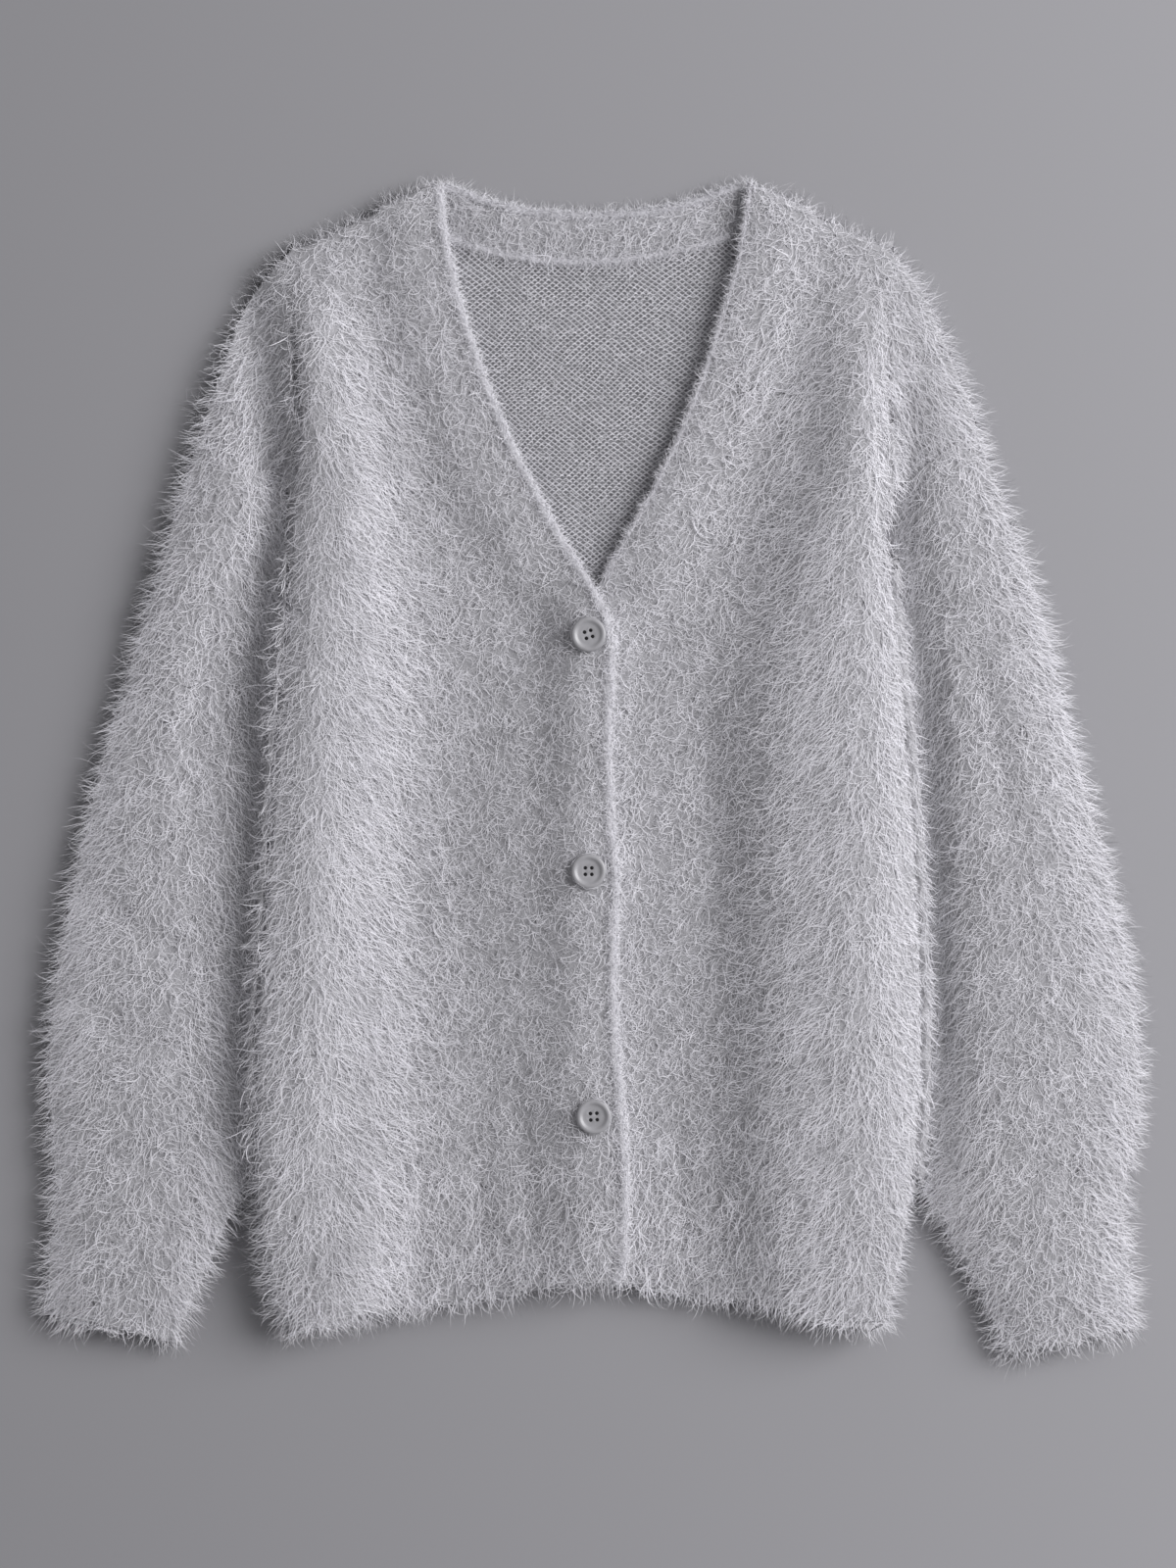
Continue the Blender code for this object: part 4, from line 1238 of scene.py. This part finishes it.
def ribbons(strands, width, facing, tone, normal, form):
    """Flat tapered ribbons along these lines, as arrays."""
    count, stations = strands.shape[:2]
    pairs = stations - 1
    along = np.gradient(strands, axis=1)
    across = unit(np.cross(along, facing[:, None, :]))[:, :pairs]
    half = (width[:, None] * np.array(TAPER[stations]) / 2)[:, :, None]
    left, right = strands[:, :pairs] - across * half, strands[:, :pairs] + across * half
    points = np.concatenate([np.stack([left, right], 2).reshape(count, -1, 3), strands[:, -1:]], 1)
    each = points.shape[1]
    quads = [[2 * k, 2 * k + 1, 2 * k + 3, 2 * k + 2] for k in range(pairs - 1)]
    corners = np.array([v for quad in quads for v in quad] + [2 * pairs - 2, 2 * pairs - 1, 2 * pairs])
    loops = (np.arange(count)[:, None] * each + corners).ravel()
    starts = (np.arange(count)[:, None] * len(corners) + 4 * np.arange(pairs)).ravel()
    own = unit(np.cross(across, along[:, :pairs]))
    form = form[:, None, None]
    shown = unit(normal[:, None] * form + own * (1 - form))
    shown = np.concatenate([np.repeat(shown, 2, axis=1), shown[:, -1:]], 1).reshape(-1, 3)
    reach = np.repeat(np.linspace(0, 1, stations), [2] * pairs + [1])
    sides = np.array([-1.0, 1.0] * pairs + [0.0]) * MAP_WIDTH
    tones = np.repeat(tone[:, None], each, 1)
    reaches = np.broadcast_to(reach, tones.shape)
    facts = np.stack([tones, reaches, np.zeros_like(tones)], 2)
    spots = MAP_EDGE + (1 - 2 * MAP_EDGE) * np.stack([tones, reaches], 2)
    spots[:, :, 0] += sides
    return points.reshape(-1, 3), loops, starts, shown, facts.reshape(-1, 3), spots.reshape(-1, 2)[loops]


def coat_mesh(name, batches, slot):
    """One piece of several batches of ribbons."""
    corners = points = 0
    joined = [[] for _ in range(6)]
    for batch in batches:
        made = list(ribbons(*batch))
        made[1], made[2] = made[1] + points, made[2] + corners
        points, corners = points + len(made[0]), corners + len(made[1])
        for group, array in zip(joined, made):
            group.append(array)
    co, loops, starts, shown, facts, spots = (np.concatenate(group) for group in joined)
    mesh = bpy.data.meshes.new(name)
    mesh.vertices.add(len(co))
    mesh.vertices.foreach_set("co", co.ravel())
    mesh.loops.add(len(loops))
    mesh.loops.foreach_set("vertex_index", loops)
    mesh.polygons.add(len(starts))
    mesh.polygons.foreach_set("loop_start", starts)
    mesh.polygons.foreach_set("use_smooth", np.ones(len(starts), bool))
    mesh.update(calc_edges=True)
    mesh.normals_split_custom_set_from_vertices(shown.astype(np.float32))
    mesh.attributes.new("strand", "FLOAT_VECTOR", "POINT").data.foreach_set("vector", facts.ravel())
    layer = mesh.uv_layers.new(name="OFBake")
    layer.uv.foreach_set("vector", spots.ravel().astype(np.float32))
    piece = as_piece(name, mesh)
    dress(piece, coat_hair, slot)
    return piece


# %% [markdown]
# The hair is a pale grey that lets light pass from strand to strand, so its own colour is much lighter
# than the coat looks. It is darker at the root, and each strand differs a little from the next.

# %% Hair
def hair(name, root, tip):
    finish = Finish(name)
    strand = finish.node("ShaderNodeAttribute", None, {"attribute_name": "strand"}, "Vector")
    tone = finish.node("ShaderNodeSeparateXYZ", {"Vector": strand})
    reach = Wire(finish, tone.plug.node.outputs["Y"])
    return finish.surface(
        Base_Color=finish.mix(reach * 0.35 + tone * 0.65, grey(root), grey(tip)), Roughness=0.7,
        Specular_IOR_Level=0.2, Sheen_Weight=0.3, Sheen_Roughness=0.45,
    )


coat_hair = hair("coat_hair", 0.36, 0.885)


# %% [markdown]
# The pile has a direction. It parts along the crest of each sleeve and of each side of the body, and runs
# down and outwards from there. In the middle and on the bands it is short, curly and has no direction.

# %% How the pile lies
PARTING = 158 * MM  # of each side of the body, from the middle line
PART_SOFT = 16 * MM  # over which the pile turns from one side of a parting to the other
# the lush crest's hair is also painted lighter, a painted highlight where it faces the lamp
LUSH_AT, LUSH_HALF = 136 * MM, 25 * MM  # the body's lush crest
COMBED_FROM, COMBED_RAMP = 45 * MM, 75 * MM  # from the middle line
HEM_FROM, HEM_RAMP, HEM_HALF = -190 * MM, 60 * MM, 110 * MM
SHOULDER_FROM, SHOULDER_RAMP = 290 * MM, 80 * MM


def sleeve_middle(side):
    """The middle line and the half width of a sleeve, as distances, by height."""
    inner, outer = arm_edges[side]
    return np.polyfit(rows, (inner + outer) / 2, 3), np.polyfit(rows, (outer - inner) / 2, 3)


sleeve_line = {side: sleeve_middle(side) for side in arm_edges}


def pile(node, x, y):
    """Which way the pile runs at these points, how combed it is, and how lush, both from 0 to 1; lush hair is also
    painted lighter, as a painted highlight.
    """
    wearer = np.where(x < 0, -1.0, 1.0)
    away = np.abs(x)
    if node in SLEEVES:
        line, half = sleeve_line[node.split("_")[1]]
        off = away - np.polyval(line, y)
        across = np.abs(off) / np.polyval(half, y)
        slope = np.polyval(np.polyder(line), y)
        down = unit(np.stack([-slope * wearer, -np.ones_like(slope)], 1))
        combed = 0.45 + 0.55 * smooth((across - 0.15) / 0.5)
        lush_and_lit = smooth((across - 0.45) / 0.35)
        reach = 0.95
    else:
        off = away - PARTING
        fade = smooth((away - 20 * MM) / (90 * MM))
        hem = smooth((HEM_FROM - y) / HEM_RAMP) * (away < HEM_HALF)
        reach = np.where(off < 0, 1.1, 0.9) * (0.25 + 0.75 * fade) * (1 - 0.8 * hem)
        down = np.stack([np.zeros_like(x), -np.ones_like(x)], 1)
        combed = smooth((away - COMBED_FROM) / COMBED_RAMP) * smooth((300 * MM - y) / (110 * MM) + 0.35)
        combed *= 1 - 0.35 * np.exp(-((off / (12 * MM)) ** 2))
        combed = np.maximum(combed, 0.75 * hem)
        crest = np.exp(-(((away - LUSH_AT) / LUSH_HALF) ** 2)) * smooth((SHOULDER_FROM - y) / SHOULDER_RAMP)
        lush_and_lit = np.where(x < 0, crest, np.maximum(0.6 * crest, smooth((away - 150 * MM) / (20 * MM))))
    sideways = wearer * np.tanh(off / PART_SOFT) * reach
    out = np.stack([-down[:, 1], down[:, 0]], 1)
    return unit(down + out * sideways[:, None]), combed, lush_and_lit


# %% [markdown]
# `scatter` drops roots on the seen faces of a skin, evenly over their area. On the faces beside them, which
# may be half covered, it keeps only the roots with nothing above them. All round the garment's outline,
# which `stands_free` finds, the hair falls outwards, and more of it is needed to close the edge. The seed is
# fixed, so the coat is the same each time.

# %% Roots
OUTLINE_MORE, WALL_MORE = 0.3, 0.9  # times as many roots again on the outline, and on its walls
OUTLINE_SOFT = 5 * MM
FREE_FROM, FREE_RAMP = 0.93, 0.35  # of the soft cover
SIDE_WAY = 0.35  # how steeply a ray climbs that looks outwards

skin_tree = tree_of([skin["piece"] for skin in skins.values()])
tops, cloth_corner = height_map(skin_tree, 40 * MM)
cloth = softened((~np.isnan(tops)).astype(float), np.ones(tops.shape), OUTLINE_SOFT / GRID)
cloth_slopes = np.gradient(cloth)  # the cover is 1 well inside the garment and 0 well outside


def stands_free(x, y):
    """How near each point is to the garment's outline, 0 to 1, and which way leads out."""
    i, j = (np.rint((value - low) / GRID).astype(int) for value, low in zip((x, y), cloth_corner))
    outwards = unit(-np.stack([slope[i, j] for slope in cloth_slopes], 1))
    return smooth((FREE_FROM - cloth[i, j]) / FREE_RAMP), outwards


def scatter(skin, density, draw, keep=None):
    """Random roots on the seen faces and on the rims beside them, with their normals."""
    points, triangles = skin["points"], skin["triangles"]
    middle, normal, area = face_facts(points, triangles)
    smooth_normal = unit(vertex_sums(normal * (area * skin["seen"])[:, None], triangles, len(points)))
    shown = touched(triangles[skin["seen"]], len(points))
    free, outwards = stands_free(middle[:, 0], middle[:, 1])
    wall = (normal[:, 2] > -0.4) & (normal[:, 2] < 0.6) & (free > 0.02)
    rim = ~skin["seen"] & (wall | (shown[triangles].any(1) & (normal[:, 2] > LOOKS_UP)))
    wanted = (skin["seen"] | rim) & (normal[:, 2] > -0.5)
    if keep is not None:
        wanted &= keep(middle)
    more = 1 + free * np.where(wall, WALL_MORE, OUTLINE_MORE)
    count = draw.poisson(np.where(wanted, area * density * more, 0))
    face = np.repeat(np.arange(len(triangles)), count)
    a, b = draw.random(len(face)), draw.random(len(face))
    flip = a + b > 1
    a[flip], b[flip] = 1 - a[flip], 1 - b[flip]
    parts = np.stack([1 - a - b, a, b], 1)[:, :, None]
    corner = triangles[face]
    root = (points[corner] * parts).sum(1)
    blend = unit((smooth_normal[corner] * parts).sum(1) + 0.6 * normal[face])
    above = blend * 0.5 * MM + np.array([0, 0, 0.5 * MM])
    open_sky = np.ones(len(root), bool)
    for k in np.flatnonzero(rim[face]):
        ways = [UP, Vector((*outwards[face[k]], SIDE_WAY))] if wall[face[k]] else [UP]
        start = Vector(root[k] + above[k])
        open_sky[k] = any(skin_tree.ray_cast(start, way, SHELTER)[0] is None for way in ways)
    return root[open_sky], blend[open_sky]


def headings(flow, normal, spread, draw):
    """The pile's direction laid on the skin and turned at random by up to the spread."""
    flat = np.concatenate([flow, np.zeros((len(flow), 1))], 1) + 0.35 * normal * np.array([1, 1, 0])
    flat[:, 2] += 0.5 * np.clip(1 - normal[:, 2] * 2, 0, 1)
    along = unit(flat - normal * (flat * normal).sum(1, keepdims=True) + draw.normal(0, 0.05, flat.shape))
    along = unit(along - normal * (along * normal).sum(1, keepdims=True))
    turn = draw.normal(0, 1, len(flow)) * spread
    side = np.cross(normal, along)
    return along * np.cos(turn)[:, None] + side * np.sin(turn)[:, None]


# %% [markdown]
# A slow noise over the garment makes neighbours lean the same way and share a tone, as brushed hair does.
# It is a handful of waves with random directions.

# %% Slow noise
def waves(x, y, size, seed, count=14):
    """A smooth random field over the garment, about -1 to 1, with lumps of this size."""
    draw = np.random.default_rng(seed)
    total = np.zeros(len(x))
    for _ in range(count):
        angle, phase = draw.uniform(0, 2 * np.pi, 2)
        rate = 2 * np.pi / (size * draw.uniform(0.7, 1.6))
        total += np.sin((x * np.cos(angle) + y * np.sin(angle)) * rate + phase)
    return total / math.sqrt(count / 2)


# %% [markdown]
# Near an edge the hair is short, and near an edge or a button it is brushed away from it. `edge_near` says how
# near a point is to a rolled edge. A strand that would still reach over a button is pushed back to its rim.

# %% Near the edges and the buttons
FLOOR = 0.3 * MM
LIMIT_OUT, LIMIT_UP = 20 * MM, 8 * MM
EDGE_COMB, BUTTON_COMB = 5 * MM, 4 * MM
BUTTON_CLEAR = 0.15 * MM


def edge_near(node, x, y):
    """1 at a band's rolled edge, 0 from 5 mm away, and the way that leads off from the edge."""
    if node not in edge_x:
        return np.zeros(len(x)), np.zeros((len(x), 2))
    wearer = dict(SIDES)[node.split("_")[1]]
    line = edge_x[node]
    slope = np.interp(y, edge_rows[node], np.gradient(line, edge_rows[node]))
    far = np.abs(x - np.interp(y, edge_rows[node], line)) / np.sqrt(1 + slope**2)
    return 1 - smooth(far / EDGE_COMB), way_off(slope, wearer)


def combed_off(flow, x, y):
    """The flow turned away from each button near it, and which roots lie outside the buttons."""
    outside = np.ones(len(x), bool)
    for bx, by, radius in button_at.values():
        away = np.stack([x - bx, y - by], 1)
        far = np.linalg.norm(away, axis=1)
        share = (1 - smooth((far - radius) / BUTTON_COMB))[:, None]
        flow = unit(flow * (1 - 0.5 * share) + away / np.maximum(far, 1e-9)[:, None] * share * 0.5)
        outside &= far > radius + 0.1 * MM
    return flow, outside


def kept_in(strands):
    """The strands held off the buttons, above the table and within the room that the hair may take."""
    for bx, by, radius in button_at.values():
        away = strands[:, :, :2] - np.array([bx, by])
        far = np.linalg.norm(away, axis=2, keepdims=True)
        pushed = np.array([bx, by]) + away / np.maximum(far, 1e-9) * (radius + BUTTON_CLEAR)
        strands[:, :, :2] = np.where(far < radius + BUTTON_CLEAR, pushed, strands[:, :, :2])
    strands[:, :, 2] = np.clip(strands[:, :, 2], FLOOR, box_high[2] + LIMIT_UP)
    strands[:, :, :2] = np.clip(strands[:, :, :2], box_low[:2] - LIMIT_OUT, box_high[:2] + LIMIT_OUT)
    return strands


# %% [markdown]
# Now each panel grows its coat, in three layers. The numbers of a layer say how many strands stand on a
# square millimetre, how many points each has, its length and width in millimetres, how it lifts, spreads
# and curls in degrees, and its tone and how uneven that is. The crests of the sides are lush, with longer,
# straighter and more even hair, and their hair is painted lighter: a painted highlight. At the outline
# light comes through the hair, so it is shaded as if it faced up and towards the lamp, and its tone is
# painted lighter too. The neck band's hair is painted darker, most towards its ends: painted shade.

# %% The three layers
LAYERS = {
    "down": {
        "thick": 0.150, "stations": 3, "length": 5.4, "width": (0.38, 0.60),
        "lift": 30, "spread": 60, "curl": 80, "tone": (0.36, 0.15),
    },
    "guard": {
        "thick": 0.146, "stations": 5, "length": 13.0, "width": (0.26, 0.41),
        "lift": 30, "spread": 25, "curl": 75, "tone": (0.66, 0.16),
    },
    "stray": {
        "thick": 0.021, "stations": 5, "length": 16.5, "width": (0.15, 0.24),
        "lift": 46, "spread": 50, "curl": 110, "tone": (0.80, 0.12),
    },
}
GUARD_MORE, GUARD_KEPT = 1.5, 0.66  # guard hairs sown, and the share that stays where the coat isn't lush
NECK_THICK = {"down": 1.8, "guard": 1.3, "stray": 0.5}  # times as many on the neck band
SPARSE = {"back": 0.8, "hem_back": 0.8}  # times as many there, where little shows
QUICK = 0.25
LOCK, LOCK_PULL = 4.0 * MM, 0.36
SWIRL, CLOUD, STREAK = 24 * MM, 32 * MM, 9 * MM  # the lumps of the noise that turns and tones the hair
HAZE_THICK = 0.06 / MM**2
LAMPWARDS = np.array([0.35, 0.1, 0.9])
MOST_TRIANGLES = 190000  # in one mesh


def haze(seed):
    """A few fine hairs over the purl rows."""
    draw = np.random.default_rng(seed)
    root, normal = scatter(skins["back"], HAZE_THICK, draw, inside_v)
    root[:, 2] = PURL_LEVEL + 0.4 * MM
    count = len(root)
    angle = draw.uniform(0, 2 * np.pi, count)
    along = np.stack([np.cos(angle), np.sin(angle), np.zeros(count)], 1)
    bend, flat = np.radians(draw.normal(0, 60, count)), np.radians(draw.normal(4, 5, count))
    strands = kept_in(grow(root, normal, along, draw.uniform(4, 10, count) * MM, flat, -flat, bend, 4))
    tone = np.clip(draw.normal(0.6, 0.15, count), 0, 1)
    return strands, draw.uniform(0.14, 0.24, count) * MM, normal, tone, normal, np.full(count, 0.8)


def layer_of(node, kind, seed):
    """One layer of a panel's coat: lines, widths, facings, tones, normals and form."""
    layer, neck = LAYERS[kind], node == NECK
    draw = np.random.default_rng(seed)
    thick = layer["thick"] * SPARSE.get(node, 1.0) * (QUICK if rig.quick() else 1.0) / MM**2
    thick *= (GUARD_MORE if kind == "guard" else 1.0) * (NECK_THICK[kind] if neck else 1.0)
    root, normal = scatter(skins[node], thick, draw, outside_v if node == "back" else None)
    x, y = root[:, 0], root[:, 1]
    flow, combed, lush_and_lit = pile(node, x, y)
    if neck:
        combed, lush_and_lit = combed * 0 + 0.5, lush_and_lit * 0
    if kind == "guard":
        kept = draw.random(len(x)) < (GUARD_KEPT + (1 - GUARD_KEPT) * lush_and_lit)
        root, normal, x, y, flow, combed, lush_and_lit = (a[kept] for a in (root, normal, x, y, flow, combed, lush_and_lit))
    turned = waves(x, y, SWIRL, 5) * 0.40 * (1.15 - combed)
    cos, sin = np.cos(turned), np.sin(turned)
    flow = np.stack([flow[:, 0] * cos - flow[:, 1] * sin, flow[:, 0] * sin + flow[:, 1] * cos], 1)
    near, off = edge_near(node, x, y)
    flow = unit(flow * (1 - near[:, None]) + off * near[:, None])
    flow, outside = combed_off(flow, x, y)
    count = len(root)
    wall = 1 - smooth(normal[:, 2] / 0.8)
    free, outwards = stands_free(x, y)
    over, turn_out = wall * free, 0.85 * free[:, None]
    flow = unit(flow * (1 - turn_out) + outwards * turn_out)
    along = headings(flow, normal, np.radians(layer["spread"] + 50 * (1 - combed)), draw)
    length = layer["length"] * MM * draw.uniform(0.6, 1.35, count) * (0.75 + 0.35 * combed) * (1 - 0.1 * free)
    length *= (1 - 0.5 * near) * (1 - 0.35 * wall * (1 - free) * (x > 0)) * (0.85 if neck else 1.0)
    if node not in SLEEVES:
        length *= 1 - 0.30 * smooth((x - 166 * MM) / (14 * MM)) * (y < ARMPIT)
    lift = np.radians(draw.normal(layer["lift"], 10, count) * (1 - 0.45 * lush_and_lit) + 8 * wall + 32 * over)
    droop = np.radians(draw.normal(-4, 13, count) + 8 * wall + 40 * over)
    calm = (1 - 0.65 * lush_and_lit) * (1 - 0.3 * over)
    curl = np.radians(draw.normal(0, 1, count) * (layer["curl"] + 45 * (1 - combed)) * calm)
    strands = grow(root, normal, along, length, lift, droop, curl, layer["stations"])
    if kind == "guard":
        strands = gather(strands, LOCK, draw.uniform(0.0, LOCK_PULL, count), draw)
    strands = kept_in(strands)
    width = draw.uniform(*layer["width"], count) * MM
    width *= (1 - 0.35 * wall) * (1 - 0.5 * free) * (1 - 0.2 * lush_and_lit)
    middle, uneven = layer["tone"]
    # painted highlight: lush hair is painted lighter, standing in for the light on the crests
    tone = middle + (0.70 - middle) * 0.85 * lush_and_lit + draw.normal(0, 1, count) * uneven * (1 - 0.85 * lush_and_lit)
    tone += 0.06 * waves(x, y, CLOUD, 9) + 0.05 * waves(x, y * 0.3, STREAK, 12) * (1 - lush_and_lit)
    # painted shade: the neck band's hair is painted darker, more towards its ends where the fronts shade it
    if neck:
        tone -= 0.12 + 0.15 * smooth((np.abs(x) - 55 * MM) / (30 * MM))
    # painted highlight: hair near the outline is painted lighter, standing in for light coming through it
    tone = np.clip(tone + 0.22 * free, 0, 1)
    facing = unit(normal + draw.normal(0, 0.4, normal.shape))
    glow = unit(normal * (1 - 0.7 * free[:, None]) + LAMPWARDS * free[:, None])
    return tuple(array[outside] for array in (strands, width, facing, tone, glow, 0.74 + 0.21 * lush_and_lit))


def in_parts(layers):
    """The layers of one panel cut into strips from the hem up, each small enough for one mesh."""
    load = sum((2 * layer[0].shape[1] - 3) * len(layer[0]) for layer in layers)
    parts = math.ceil(load / MOST_TRIANGLES)
    heights = [layer[0][:, 0, 1] for layer in layers]
    cuts = np.quantile(np.concatenate(heights), np.linspace(0, 1, parts + 1))
    cuts[-1] += 1
    for low, high in zip(cuts, cuts[1:]):
        yield [tuple(a[(y >= low) & (y < high)] for a in layer) for layer, y in zip(layers, heights)]


coats = {}
for number, node in enumerate(LET_IN):
    layers = [layer_of(node, kind, 100 + 10 * number + k) for k, kind in enumerate(LAYERS)]
    if node == "back":
        layers.append(haze(77))
    coats[node] = list(edges.get(node, []))
    for part, batches in enumerate(in_parts(layers)):
        piece = coat_mesh(f"{node}_pile_{part + 1}", batches, "fluffy_knit")
        coats[node].append(piece)
        print(piece.name, sum(len(batch[0]) for batch in batches), "strands")
coats["back"].append(purl)


# %% [markdown]
# The rolled edges get a fuzz of their own, short and in all directions, so that they look spun and not
# turned from plastic.

# %% Fuzz on the edges
FUZZ = {"thick": 1.9, "length": 6.0, "width": (0.16, 0.30)}


def fuzz(piece, seed):
    """Short hair on a rolled edge."""
    draw = np.random.default_rng(seed)
    points, triangles = arrays_of(piece)
    edge = {"points": points, "triangles": triangles, "seen": np.ones(len(triangles), bool)}
    root, normal = scatter(edge, FUZZ["thick"] / MM**2, draw)
    up = normal[:, 2] > 0.05
    root, normal = root[up], normal[up]
    count = len(root)
    angle = draw.uniform(0, 2 * np.pi, count)
    flow = np.stack([np.cos(angle), np.sin(angle)], 1)
    along = headings(flow, normal, 0.3, draw)
    length = FUZZ["length"] * MM * draw.uniform(0.5, 1.4, count)
    lift, droop = np.radians(draw.normal(20, 10, count)), np.radians(draw.normal(-6, 12, count))
    curl = np.radians(draw.normal(0, 80, count))
    strands = kept_in(grow(root, normal, along, length, lift, droop, curl, 3))
    tone = np.clip(draw.normal(0.66, 0.11, count), 0, 1)
    facing = unit(normal + draw.normal(0, 0.4, normal.shape))
    glow = unit(normal + np.array([0, 0, 0.9]))
    return strands, draw.uniform(*FUZZ["width"], count) * MM, facing, tone, glow, np.full(count, 0.8)


for node, cords in edges.items():
    batches = [fuzz(cord, 500 + k) for k, cord in enumerate(cords)]
    piece = coat_mesh(node + "_edge_fuzz", batches, "rib_knit")
    coats[node].append(piece)
    print(piece.name, len(piece.data.polygons), "faces")


# %% [markdown]
# ## What each piece of cloth was cut to
#
# Every sheet of cloth is declared with the size it had on the table before sewing.

CUTS = {
    "back": ((0.46, 0.58), "folded", ["table"], 0.205),
    "front_right": ((0.30, 0.58), "folded", ["back"], 0.118),
    "front_left": ((0.30, 0.58), "folded", ["back"], 0.125),
    "sleeve_right": ((0.22, 0.46), "laid", ["table"], 0.085),
    "sleeve_left": ((0.22, 0.46), "laid", ["table"], 0.085),
    "hem_back": ((0.37, 0.075), "folded", ["table"], 0.0275),
    "hem_front_right": ((0.27, 0.075), "folded", ["hem_back"], 0.0195),
    "hem_front_left": ((0.27, 0.075), "folded", ["hem_back"], 0.0195),
    "cuff_right": ((0.20, 0.08), "laid", ["table"], 0.0155),
    "cuff_left": ((0.22, 0.08), "laid", ["table"], 0.0172),
    "band_right": ((0.038, 0.70), "laid", ["front_right"], 0.0262),
    "band_left": ((0.038, 0.70), "laid", ["front_left"], 0.0262),
    NECK: ((0.034, 0.25), "laid", ["table"], 0.0076),
}
for node, (flat, held, on, area) in CUTS.items():
    names = [name if name == "table" else name + "_knit" for name in on]
    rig.sheet(skins[node]["piece"], flat=flat, held=held, rests_on=names, area=area, with_pieces=coats[node])

with open("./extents.json", "w") as file:
    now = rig.bounds()
    json.dump([list(map(list, cad_box)), list(map(list, now))], file)
total = sum(len(p.vertices) - 2 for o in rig.pieces() for p in o.data.polygons)
print("triangles in all:", total, "box", [round(v, 4) for v in now[0]], [round(v, 4) for v in now[1]])
